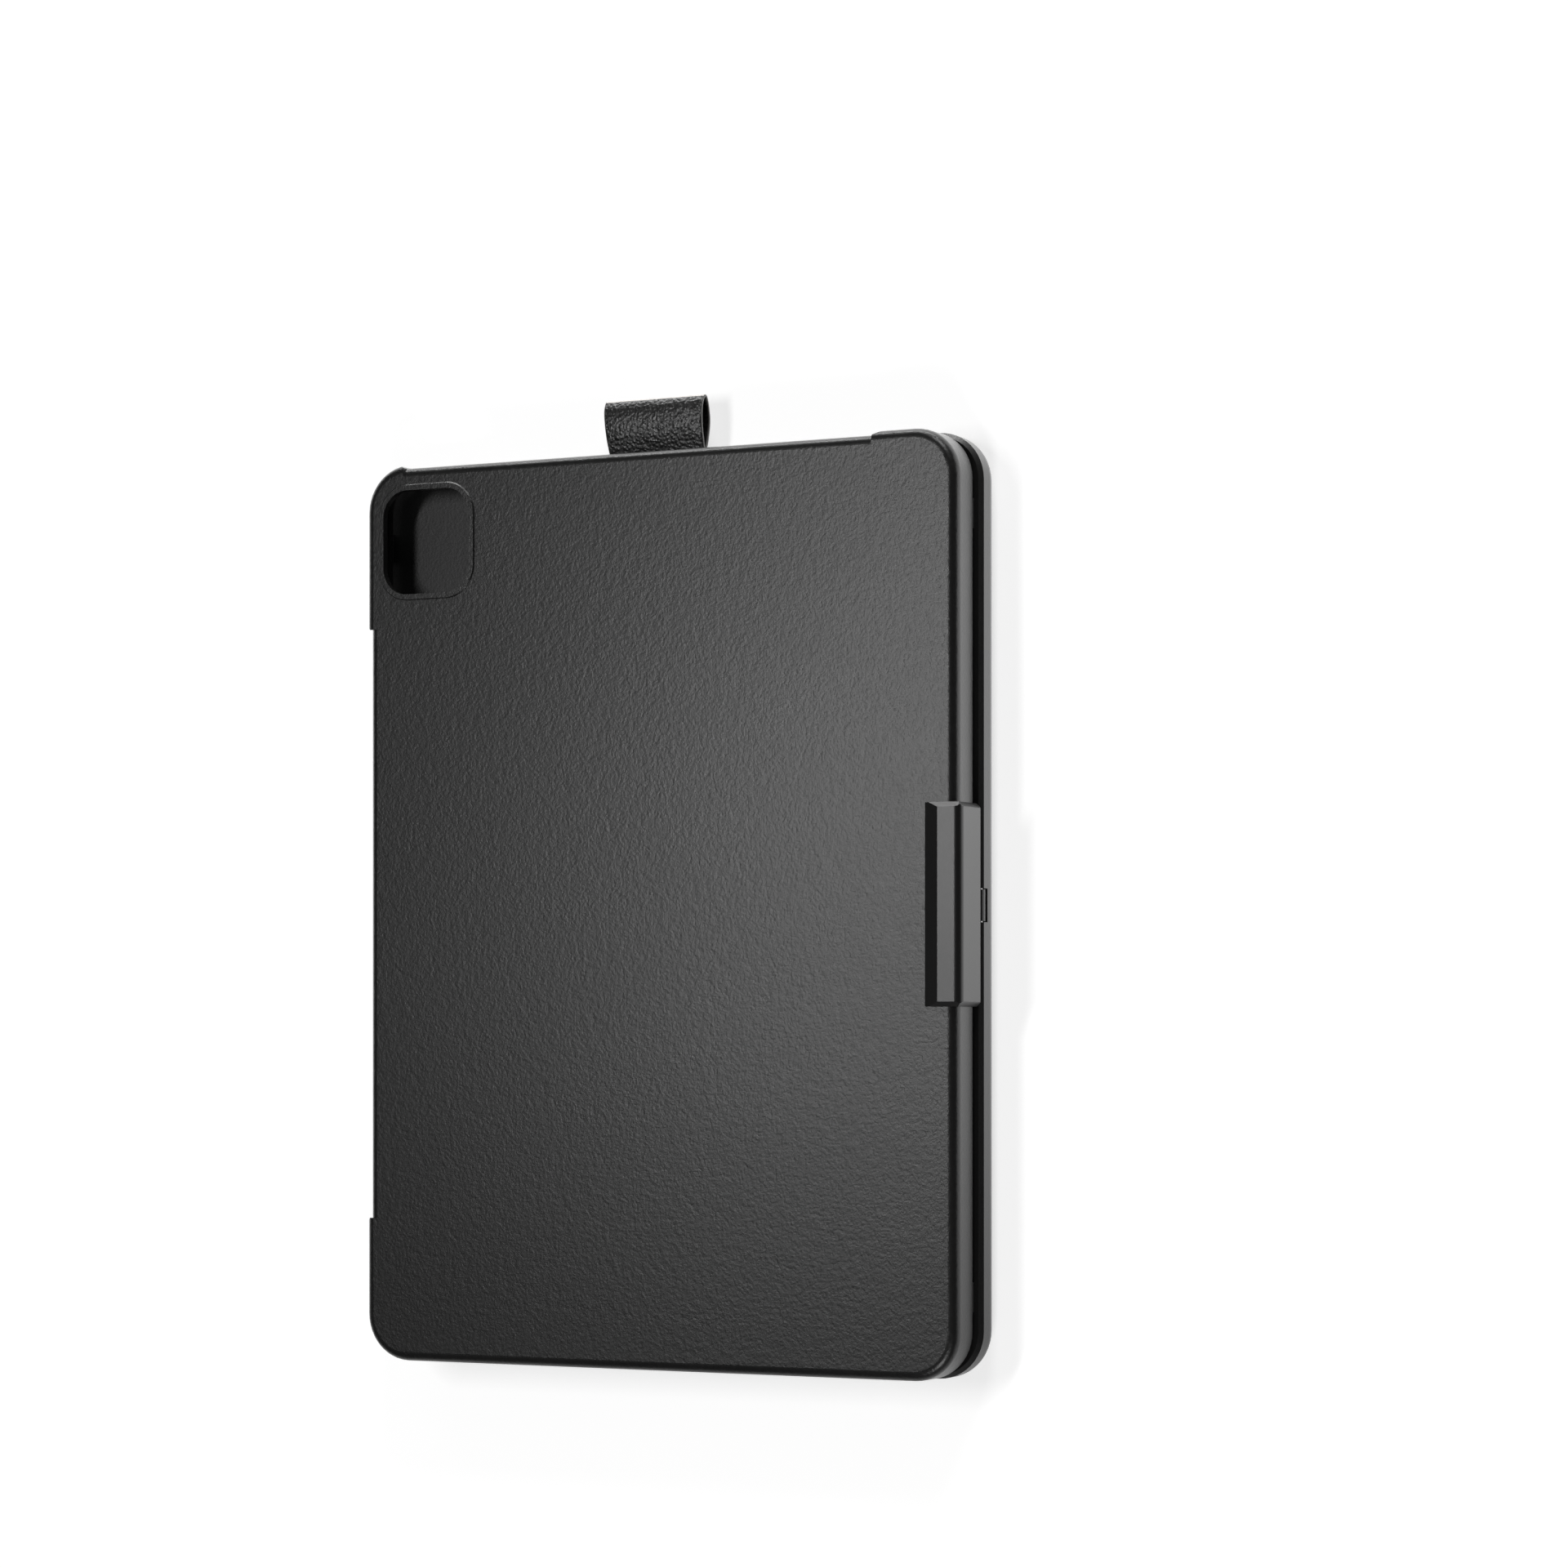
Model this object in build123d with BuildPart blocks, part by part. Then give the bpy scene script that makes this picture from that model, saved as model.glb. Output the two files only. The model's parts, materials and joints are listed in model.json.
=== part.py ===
from build123d import *
import os

# Tablet keyboard case, closed, lying on its feet. Millimetres.
# X runs along the long side, with the pencil loop at -X. -Y is the opening edge and +Y the hinge edge.
# The origin is the middle of the base's outline, on the surface that the feet stand on.

# ---- Driving dimensions ----

# Tablet that the tray holds
DEVICE_LENGTH = 247.6
DEVICE_WIDTH = 178.5
DEVICE_THICKNESS = 6.1
DEVICE_CORNER = 10.8
DEVICE_CLEARANCE = 0.4

# Lid
LID_SIDE_WALL = 1.7
LID_FRONT_WALL = 1.8
LID_REAR_WALL = 2.4
LID_BACK_PLATE = 1.8
LID_EDGE_ROUND = 2.6
LIP_OVERHANG = 0.9
LIP_HEIGHT = 1.9
LIP_PLAY = 0.2
RAIL_HEIGHT = 4.0
FRONT_RECESS = 1.2
LOOP_SIDE_RECESS = 1.0
FRONT_RAMP = 0.8
SIDE_RAMP = 2.5
GRIP_FRONT_LEFT = 46.0
GRIP_FRONT_RIGHT = 40.0
GRIP_SIDE_FRONT = 12.5
GRIP_SIDE_REAR = 25.0
PORT_WINDOW_LENGTH = 120.0

# Camera window and its raised rim
WINDOW_LENGTH = 29.2
WINDOW_WIDTH = 28.0
WINDOW_CORNER = 7.6
WINDOW_RIM = 1.7
WINDOW_RIM_PROUD = 0.4
WINDOW_RIM_BEVEL = 0.3
WINDOW_FROM_SIDE = 22.0
WINDOW_FROM_FRONT = 20.1

# Volume buttons
BUTTON_LENGTH = 10.0
BUTTON_HEIGHT = 4.1
BUTTON_PROUD = 0.5
BUTTON_CLEARANCE = 0.2
BUTTON_FLANGE = 0.7
BUTTON_FLANGE_THICKNESS = 0.4
BUTTON_SKIN = 1.1
BUTTON_SEAT_PLAY = 0.05
BUTTON_BEVEL = 0.35
BUTTON_FROM_SIDE = 26.85
BUTTON_PITCH = 12.25

# Base
HINGE_WALL = 2.0
BASE_HEIGHT = 10.0
RIM_HEIGHT = 3.0
DECK_PLATE = 1.6
BASE_WALL = 2.0
BASE_FLOOR = 1.5
BASE_CORNER = 13.0
BASE_BOTTOM_ROUND = 5.0
BASE_HOLLOW_BEVEL = 2.0
BASE_TOP_BEVEL = 1.1
CLOSED_GAP = 1.8

# Thumb notch in the opening edge
NOTCH_LENGTH = 68.0
NOTCH_FLOOR_LENGTH = 44.0
NOTCH_DEPTH = 4.4
NOTCH_INSET = 5.0
NOTCH_BACKING = 2.0
NOTCH_ROUND = 6.0
NOTCH_BEVEL = 0.9

# Feet and the screws under them
FOOT_RADIUS = 6.25
FOOT_TIP_RADIUS = 2.2
FOOT_PROUD = 1.2
FOOT_PLUG = 0.5
FOOT_EDGE = 0.25
FOOT_SHOULDER_RADIUS = 5.0
FOOT_SHOULDER_HEIGHT = 0.4
FOOT_FROM_SIDE = 18.0
FOOT_FROM_EDGE = 14.5
SCREW_RADIUS = 1.0
SCREW_HEAD_RADIUS = 1.9
SCREW_HEAD_HEIGHT = 0.8
SCREW_LENGTH = 5.0
SCREW_CLEARANCE = 0.1
BOSS_WALL = 1.6
BOSS_HEIGHT = 1.2

# Hinge
PIN_BELOW_TOP = 1.6
SHAFT_RADIUS = 0.8
SHAFT_LENGTH = 44.0
SHAFT_CLEARANCE = 0.1
EYE_RADIUS = 1.5
EYE_CLEARANCE = 0.3
EYE_PLAY = 0.05
ARM_THICKNESS = 1.0
ARM_NECK_WIDTH = 8.4
ARM_LENGTH = 48.0
ARM_FLANGE_WIDTH = 6.3
ARM_SIDE_CLEARANCE = 0.3
ARM_LIFT = 0.4
COVER_LENGTH = 53.8
COVER_PROUD = 1.8
COVER_FLANGE_WIDTH = 11.2
COVER_SLOPE_WIDTH = 4.4
COVER_TOP_ROUND = 2.0
COVER_FOOT_ROUND = 0.7
COVER_END_CHAMFER = 1.3
COVER_ABOVE_BASE = 0.6
HINGE_SCREW_RADIUS = 0.7
HINGE_SCREW_HEAD_RADIUS = 1.3
HINGE_SCREW_HEAD_HEIGHT = 0.5
HINGE_SCREW_EDGE = 0.2
HINGE_SCREW_GRIP = 1.3
HINGE_SCREW_PITCH = 13.0
HINGE_SCREW_COUNT = 4
BRACKET_LENGTH = 14.0
BRACKET_WIDTH = 9.0
BRACKET_HEIGHT = 3.4
BRACKET_PLAY = 0.02
BRACKET_ROOM = 0.1
BRACKET_SCREW_FROM_WALL = 5.5
BRACKET_SCREW_GRIP = 2.4

# Keys: pitch, gaps and how they stand in the deck
KEY_PITCH = 16.4
KEY_GAP = 2.2
KEY_CORNER = 1.0
KEY_PROUD = 1.0
KEY_TRAVEL = 1.0
KEY_CLEARANCE = 0.35
KEY_SKIRT = 0.7
KEY_REST_GAP = 0.1
FUNCTION_KEY_DEPTH = 8.0
KEYS_FROM_REAR = 22.75
ROW_UNITS = 14.5
SHEET_THICKNESS = 0.5
PLATE_THICKNESS = 0.6
PLATE_MARGIN = 1.6
POST_RADIUS = 2.0

# Touchpad
PAD_LENGTH = 100.0
PAD_WIDTH = 52.0
PAD_CORNER = 3.0
PAD_SUNK = 0.1
PAD_THICKNESS = 1.15
PAD_TRAVEL = 0.25
PAD_CLEARANCE = 0.4
PAD_FROM_FRONT = 10.0
PAD_FRAME_MARGIN = 4.0
PAD_FRAME_THICKNESS = 0.6
PAD_SWITCH_RADIUS = 3.0
PAD_SWITCH_PLAY = 0.05

# Parts inside and on the side
BOARD_LENGTH = 120.0
BOARD_WIDTH = 44.0
BOARD_THICKNESS = 1.0
CELL_LENGTH = 80.0
CELL_WIDTH = 56.0
CELL_THICKNESS = 3.0
CELL_SPACING = 92.0
MAGNET_RADIUS = 4.0
MAGNET_THICKNESS = 1.4
MAGNET_SPACING = 176.0
PORT_WIDTH = 9.0
PORT_HEIGHT = 3.2
PORT_DEPTH = 6.2
PORT_SHELL = 0.3
PORT_TONGUE = 0.7
PORT_FROM_REAR = 32.0
PORT_CLEARANCE = 0.15
SWITCH_KNOB_LENGTH = 3.6
SWITCH_KNOB_HEIGHT = 1.8
SWITCH_TRAVEL = 3.0
SWITCH_PROUD = 0.6
SWITCH_BODY_DEPTH = 3.4
SWITCH_BODY_HEIGHT = 3.0
SWITCH_FROM_PORT = 18.0
LIGHT_RADIUS = 0.9
LIGHT_SPACING = 5.0
LIGHT_FROM_SIDE = 36.0
LIGHT_FROM_REAR = 15.0
BUMPER_LENGTH = 8.0
BUMPER_WIDTH = 1.8
BUMPER_SEAT = 0.5
BUMPER_CLEARANCE = 0.3
BUMPER_FROM_SIDE = 22.0
BUMPER_FROM_WALL = 0.4

# Pencil loop
LOOP_WIDTH = 31.0
LOOP_Y = -7.4
LOOP_REACH = 15.6
LOOP_THICKNESS = 7.0
LEATHER = 0.9
LOOP_TAIL = 3.0
LOOP_ROOT = 1.8
LOOP_TAIL_CLEARANCE = 0.1

# ---- Places worked out from them ----

TRAY_LENGTH = DEVICE_LENGTH + 2 * DEVICE_CLEARANCE
TRAY_WIDTH = DEVICE_WIDTH + 2 * DEVICE_CLEARANCE
TRAY_DEPTH = DEVICE_THICKNESS + LIP_PLAY
TRAY_CORNER = DEVICE_CORNER + DEVICE_CLEARANCE
LENGTH = TRAY_LENGTH + 2 * LID_SIDE_WALL
LID_WIDTH = TRAY_WIDTH + LID_FRONT_WALL + LID_REAR_WALL
BASE_WIDTH = LID_WIDTH + HINGE_WALL
LID_HEIGHT = LID_BACK_PLATE + TRAY_DEPTH + LIP_HEIGHT

SIDE_X = LENGTH / 2
FRONT_Y = -BASE_WIDTH / 2
REAR_Y = BASE_WIDTH / 2
LID_REAR_Y = REAR_Y - HINGE_WALL
LID_Y = (FRONT_Y + LID_REAR_Y) / 2
TRAY_FRONT_Y = FRONT_Y + LID_FRONT_WALL
TRAY_Y = TRAY_FRONT_Y + TRAY_WIDTH / 2

BASE_Z = FOOT_PROUD
FLOOR_Z = BASE_Z + BASE_FLOOR
TOP_Z = BASE_Z + BASE_HEIGHT
SEAM_Z = TOP_Z - RIM_HEIGHT
UNDER_DECK_Z = TOP_Z - DECK_PLATE
LID_Z = TOP_Z + CLOSED_GAP
LID_TOP_Z = LID_Z + LID_HEIGHT
TRAY_Z = LID_TOP_Z - LID_BACK_PLATE
RAIL_Z = LID_TOP_Z - RAIL_HEIGHT

PIN_Y = LID_REAR_Y + ARM_THICKNESS / 2
PIN_Z = TOP_Z - PIN_BELOW_TOP
ARM_REAR_Y = LID_REAR_Y + ARM_THICKNESS
ARM_TOP_Z = LID_TOP_Z + ARM_THICKNESS
COVER_Z = TOP_Z + COVER_ABOVE_BASE
COVER_TOP_Z = LID_TOP_Z + COVER_PROUD
HINGE_SCREW_Y = ARM_REAR_Y - ARM_FLANGE_WIDTH + HINGE_SCREW_HEAD_RADIUS + HINGE_SCREW_EDGE
EYE_ROOM_FRONT_Y = PIN_Y - EYE_RADIUS - EYE_CLEARANCE
EYE_ROOM_Z = PIN_Z - EYE_RADIUS - EYE_CLEARANCE
EYE_ROOM_LENGTH = ARM_NECK_WIDTH + 2 * ARM_SIDE_CLEARANCE
BRACKET_X = EYE_ROOM_LENGTH / 2 + BASE_WALL + BRACKET_LENGTH / 2
BRACKET_Z = UNDER_DECK_Z - BRACKET_HEIGHT
BRACKET_SCREW_Y = REAR_Y - BASE_WALL - BRACKET_SCREW_FROM_WALL
BRACKET_SCREW_PLACES = [(-BRACKET_X, BRACKET_SCREW_Y), (BRACKET_X, BRACKET_SCREW_Y)]

FOOT_X = SIDE_X - FOOT_FROM_SIDE
FOOT_Y = REAR_Y - FOOT_FROM_EDGE
FOOT_PLACES = [(x, y) for x in (-FOOT_X, FOOT_X) for y in (-FOOT_Y, FOOT_Y)]
BOSS_TOP_Z = FLOOR_Z + BOSS_HEIGHT
BUMPER_PLACES = [
    (x, y)
    for x in (BUMPER_FROM_SIDE - SIDE_X, SIDE_X - BUMPER_FROM_SIDE)
    for y in (TRAY_FRONT_Y - BUMPER_WIDTH / 2, LID_REAR_Y - BUMPER_WIDTH / 2 - BUMPER_FROM_WALL)
]
LIGHT_PLACES = [
    (SIDE_X - LIGHT_FROM_SIDE + step, REAR_Y - LIGHT_FROM_REAR)
    for step in (-LIGHT_SPACING / 2, LIGHT_SPACING / 2)
]

KEY_BOTTOM_Z = UNDER_DECK_Z - KEY_SKIRT
SHEET_TOP_Z = KEY_BOTTOM_Z - KEY_TRAVEL - KEY_REST_GAP
PLATE_TOP_Z = SHEET_TOP_Z - SHEET_THICKNESS
PLATE_Z = PLATE_TOP_Z - PLATE_THICKNESS
KEYS_TOP_Y = REAR_Y - KEYS_FROM_REAR
PAD_Y = FRONT_Y + PAD_FROM_FRONT + PAD_WIDTH / 2
PAD_BOTTOM_Z = TOP_Z - PAD_SUNK - PAD_THICKNESS

PORT_Y = REAR_Y - PORT_FROM_REAR
PORT_Z = SEAM_Z - PORT_HEIGHT / 2 - PORT_CLEARANCE
SWITCH_Y = PORT_Y - SWITCH_FROM_PORT

LOOP_RADIUS = ((LOOP_REACH / 2) ** 2 + (LOOP_THICKNESS / 2) ** 2) / LOOP_THICKNESS
LOOP_INNER_REACH = LOOP_REACH - LEATHER - LOOP_ROOT
LOOP_INNER_THICKNESS = LOOP_THICKNESS - 2 * LEATHER
LOOP_INNER_RADIUS = (
    (LOOP_INNER_REACH / 2) ** 2 + (LOOP_INNER_THICKNESS / 2) ** 2
) / LOOP_INNER_THICKNESS

FRONT_OPEN_X = (-SIDE_X + GRIP_FRONT_LEFT, SIDE_X - GRIP_FRONT_RIGHT)
SIDE_OPEN_Y = (FRONT_Y + GRIP_SIDE_FRONT, LID_REAR_Y - GRIP_SIDE_REAR)
WINDOW_X = -SIDE_X + WINDOW_FROM_SIDE
WINDOW_Y = FRONT_Y + WINDOW_FROM_FRONT
BUTTON_Z = TRAY_Z - DEVICE_THICKNESS / 2
BUTTON_X = {
    "volume_up_button": -SIDE_X + BUTTON_FROM_SIDE,
    "volume_down_button": -SIDE_X + BUTTON_FROM_SIDE + BUTTON_PITCH,
}

MARGIN = 1.0  # how far a cutting solid runs past the face that it cuts
SMALL_SIDES = 8  # flats round a small boss, screw or hole inside the case

os.makedirs("parts", exist_ok=True)


def save(piece, name):
    """Label a finished piece and write its STEP file."""
    piece.part.label = name
    export_step(piece.part, f"parts/{name}.step")


def level(z):
    """The horizontal plane at a height."""
    return Plane.XY.offset(z)


def small_round(radius):
    """Section of a small boss, screw or hole inside the case, drawn with a few flats."""
    RegularPolygon(radius, SMALL_SIDES)


# ---- Key layout: each row runs from -X to +X, as (node, width in key pitches) ----

def repeat(node, count, units=1.0):
    return [(node, units)] * count


KEY_ROWS = [
    [("key_escape", ROW_UNITS / 14)] + repeat("keys_function_row", 13, ROW_UNITS / 14),
    repeat("keys_number_row", 13) + [("key_backspace", 1.5)],
    [("key_tab", 1.5)] + repeat("keys_upper_letter_row", 13),
    [("key_caps_lock", 1.75)] + repeat("keys_home_letter_row", 11) + [("key_enter", 1.75)],
    [("key_left_shift", 2.25)] + repeat("keys_lower_letter_row", 10) + [("key_right_shift", 2.25)],
    repeat("keys_modifier_row", 3) + [("keys_modifier_row", 1.25), ("key_space", 5.0)]
    + [("keys_modifier_row", 1.25)] + repeat("keys_modifier_row", 1)
    + [("key_arrow_left", 1.0), ("key_arrow_column", 1.0), ("key_arrow_right", 1.0)],
]


def key_places():
    """Each key as (node, x, y, length, width), from the rear row to the front row."""
    places = []
    row_rear_y = KEYS_TOP_Y
    for row_number, row in enumerate(KEY_ROWS):
        key_depth = FUNCTION_KEY_DEPTH if row_number == 0 else KEY_PITCH - KEY_GAP
        y = row_rear_y - key_depth / 2
        left_x = -ROW_UNITS * KEY_PITCH / 2
        for node, units in row:
            x = left_x + units * KEY_PITCH / 2
            length = units * KEY_PITCH - KEY_GAP
            if node == "key_arrow_column":
                half_depth = (key_depth - KEY_GAP) / 2
                shift = (half_depth + KEY_GAP) / 2
                places.append(("key_arrow_up", x, y + shift, length, half_depth))
                places.append(("key_arrow_down", x, y - shift, length, half_depth))
            else:
                places.append((node, x, y, length, key_depth))
            left_x += units * KEY_PITCH
        row_rear_y -= key_depth + KEY_GAP
    return places


KEYS = key_places()
KEYS_LENGTH = ROW_UNITS * KEY_PITCH - KEY_GAP
KEYS_FRONT_Y = min(y - width / 2 for _, _, y, _, width in KEYS)
KEYS_WIDTH = KEYS_TOP_Y - KEYS_FRONT_Y
KEYS_Y = (KEYS_TOP_Y + KEYS_FRONT_Y) / 2
PLATE_LENGTH = KEYS_LENGTH + 2 * PLATE_MARGIN
PLATE_WIDTH = KEYS_WIDTH + 2 * PLATE_MARGIN
POST_X = CELL_SPACING / 2 + CELL_LENGTH / 2 + 2 * POST_RADIUS
POST_PLACES = [(x, KEYS_Y + y) for x in (-POST_X, 0, POST_X) for y in (-KEYS_WIDTH / 3, KEYS_WIDTH / 3)]


# ---- Cutting solids shared by two pieces ----

def notch_section(plane, grow):
    """The thumb notch's opening on an upright plane, grown outwards by a bevel."""
    with BuildSketch(plane) as section:
        with BuildLine():
            Polyline(
                (-NOTCH_LENGTH / 2 - grow, TOP_Z),
                (-NOTCH_FLOOR_LENGTH / 2 - grow / 2, TOP_Z - NOTCH_DEPTH - grow),
                (NOTCH_FLOOR_LENGTH / 2 + grow / 2, TOP_Z - NOTCH_DEPTH - grow),
                (NOTCH_LENGTH / 2 + grow, TOP_Z),
                (NOTCH_LENGTH / 2 + grow, TOP_Z + MARGIN),
                (-NOTCH_LENGTH / 2 - grow, TOP_Z + MARGIN),
                close=True,
            )
        make_face()
        fillet(section.vertices().group_by(Axis.Y)[0], NOTCH_ROUND)
    return section.sketch


# Thumb notch: a shallow tray shape with a bevelled mouth, which both halves of the base give way to
with BuildPart() as thumb_notch:
    extrude(notch_section(Plane.XZ.offset(-FRONT_Y + MARGIN), 0), amount=-(NOTCH_INSET + MARGIN))
    loft(
        [
            notch_section(Plane.XZ.offset(-FRONT_Y), NOTCH_BEVEL),
            notch_section(Plane.XZ.offset(-FRONT_Y - NOTCH_BEVEL), 0),
        ]
    )

# Room for the hinge eye and the neck of the arm, open to the rear and the top
with BuildPart() as eye_room:
    with BuildSketch(level(EYE_ROOM_Z)):
        with Locations((0, EYE_ROOM_FRONT_Y)):
            Rectangle(
                EYE_ROOM_LENGTH,
                REAR_Y - EYE_ROOM_FRONT_Y + MARGIN,
                align=(Align.CENTER, Align.MIN),
            )
    extrude(amount=TOP_Z - EYE_ROOM_Z + MARGIN)

# Room in the rear wall for the ends of the hinge brackets
with BuildPart() as bracket_room:
    with BuildSketch(level(BRACKET_Z - BRACKET_ROOM)):
        with Locations((0, REAR_Y - BASE_WALL - BRACKET_ROOM)):
            with GridLocations(2 * BRACKET_X, 0, 2, 1):
                Rectangle(
                    BRACKET_LENGTH + 2 * BRACKET_ROOM,
                    PIN_Y - REAR_Y + BASE_WALL + 2 * BRACKET_ROOM,
                    align=(Align.CENTER, Align.MIN),
                )
    extrude(amount=BRACKET_HEIGHT + BRACKET_ROOM)

# Channel for the shaft, half in each half of the base
with BuildPart() as shaft_room:
    with BuildSketch(Plane.YZ.offset(-SHAFT_LENGTH / 2 - SHAFT_CLEARANCE)):
        with Locations((PIN_Y, PIN_Z)):
            Circle(SHAFT_RADIUS + SHAFT_CLEARANCE)
    extrude(amount=SHAFT_LENGTH + 2 * SHAFT_CLEARANCE)

# Slot in the short edge that clamps the tail of the leather loop
with BuildPart() as tail_slot:
    with BuildSketch(level(SEAM_Z - LEATHER - LOOP_TAIL_CLEARANCE)):
        with Locations((-SIDE_X - MARGIN, LOOP_Y)):
            Rectangle(
                LOOP_TAIL + MARGIN + LOOP_TAIL_CLEARANCE,
                LOOP_WIDTH + 2 * LOOP_TAIL_CLEARANCE,
                align=(Align.MIN, Align.CENTER),
            )
    extrude(amount=2 * (LEATHER + LOOP_TAIL_CLEARANCE))

# ---- Base ----

with BuildPart() as cover_hollow:
    with BuildSketch(level(FLOOR_Z)):
        RectangleRounded(LENGTH - 2 * BASE_WALL, BASE_WIDTH - 2 * BASE_WALL, BASE_CORNER - BASE_WALL)
    extrude(amount=SEAM_Z - FLOOR_Z + MARGIN)
    chamfer(cover_hollow.faces().sort_by(Axis.Z)[0].edges(), BASE_HOLLOW_BEVEL)

with BuildPart() as base_bottom_cover:
    with BuildSketch(level(BASE_Z)):
        RectangleRounded(LENGTH, BASE_WIDTH, BASE_CORNER)
    extrude(amount=SEAM_Z - BASE_Z)
    fillet(base_bottom_cover.faces().sort_by(Axis.Z)[0].edges(), BASE_BOTTOM_ROUND)
    add(cover_hollow.part, mode=Mode.SUBTRACT)
    # Backing for the thumb notch
    with BuildSketch(level(FLOOR_Z)):
        with Locations((0, FRONT_Y + BASE_WALL)):
            Rectangle(
                NOTCH_LENGTH + 2 * NOTCH_BACKING,
                NOTCH_INSET + NOTCH_BACKING - BASE_WALL,
                align=(Align.CENTER, Align.MIN),
            )
    extrude(amount=SEAM_Z - FLOOR_Z)
    # Backing for the hinge room and the loop's tail
    with BuildSketch(level(FLOOR_Z)):
        with Locations((0, REAR_Y - BASE_WALL)):
            Rectangle(
                EYE_ROOM_LENGTH + 2 * BASE_WALL,
                REAR_Y - EYE_ROOM_FRONT_Y,
                align=(Align.CENTER, Align.MAX),
            )
        with Locations((-SIDE_X + BASE_WALL, LOOP_Y)):
            Rectangle(LOOP_TAIL, LOOP_WIDTH + 2 * BASE_WALL, align=(Align.MIN, Align.CENTER))
    extrude(amount=SEAM_Z - FLOOR_Z)
    # Bosses for the case screws, and posts under the key plate
    with BuildSketch(level(FLOOR_Z)):
        with Locations(FOOT_PLACES):
            small_round(SCREW_HEAD_RADIUS + BOSS_WALL)
    extrude(amount=BOSS_HEIGHT)
    with BuildSketch(level(FLOOR_Z)):
        with Locations(POST_PLACES):
            small_round(POST_RADIUS)
    extrude(amount=PLATE_Z - FLOOR_Z)
    with BuildSketch(level(FLOOR_Z)):
        with Locations(BRACKET_SCREW_PLACES):
            small_round(SCREW_HEAD_RADIUS + BOSS_WALL)
    extrude(amount=BRACKET_Z - FLOOR_Z)
    with BuildSketch(level(BRACKET_Z - BRACKET_SCREW_GRIP)):
        with Locations(BRACKET_SCREW_PLACES):
            small_round(SCREW_RADIUS)
    extrude(amount=BRACKET_SCREW_GRIP, mode=Mode.SUBTRACT)
    with BuildSketch(level(BASE_Z)):
        with Locations(FOOT_PLACES):
            small_round(SCREW_HEAD_RADIUS + SCREW_CLEARANCE)
    extrude(amount=FOOT_PLUG + SCREW_HEAD_HEIGHT, mode=Mode.SUBTRACT)
    with BuildSketch(level(BASE_Z)):
        with Locations(FOOT_PLACES):
            small_round(SCREW_RADIUS + SCREW_CLEARANCE)
    extrude(amount=BOSS_TOP_Z - BASE_Z, mode=Mode.SUBTRACT)
    # Charging port and switch slot in the +X wall
    with BuildSketch(Plane.YZ.offset(SIDE_X - PORT_DEPTH - MARGIN)):
        with Locations((PORT_Y, PORT_Z)):
            SlotOverall(PORT_WIDTH + 2 * PORT_CLEARANCE, PORT_HEIGHT + 2 * PORT_CLEARANCE)
        with Locations((SWITCH_Y, PORT_Z)):
            Rectangle(
                SWITCH_KNOB_LENGTH + SWITCH_TRAVEL + 2 * PORT_CLEARANCE,
                SWITCH_KNOB_HEIGHT + 2 * PORT_CLEARANCE,
            )
    extrude(amount=PORT_DEPTH + 2 * MARGIN, mode=Mode.SUBTRACT)
    add(thumb_notch.part, mode=Mode.SUBTRACT)
    add(eye_room.part, mode=Mode.SUBTRACT)
    add(shaft_room.part, mode=Mode.SUBTRACT)
    add(bracket_room.part, mode=Mode.SUBTRACT)
    add(tail_slot.part, mode=Mode.SUBTRACT)
save(base_bottom_cover, "base_bottom_cover")

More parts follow.
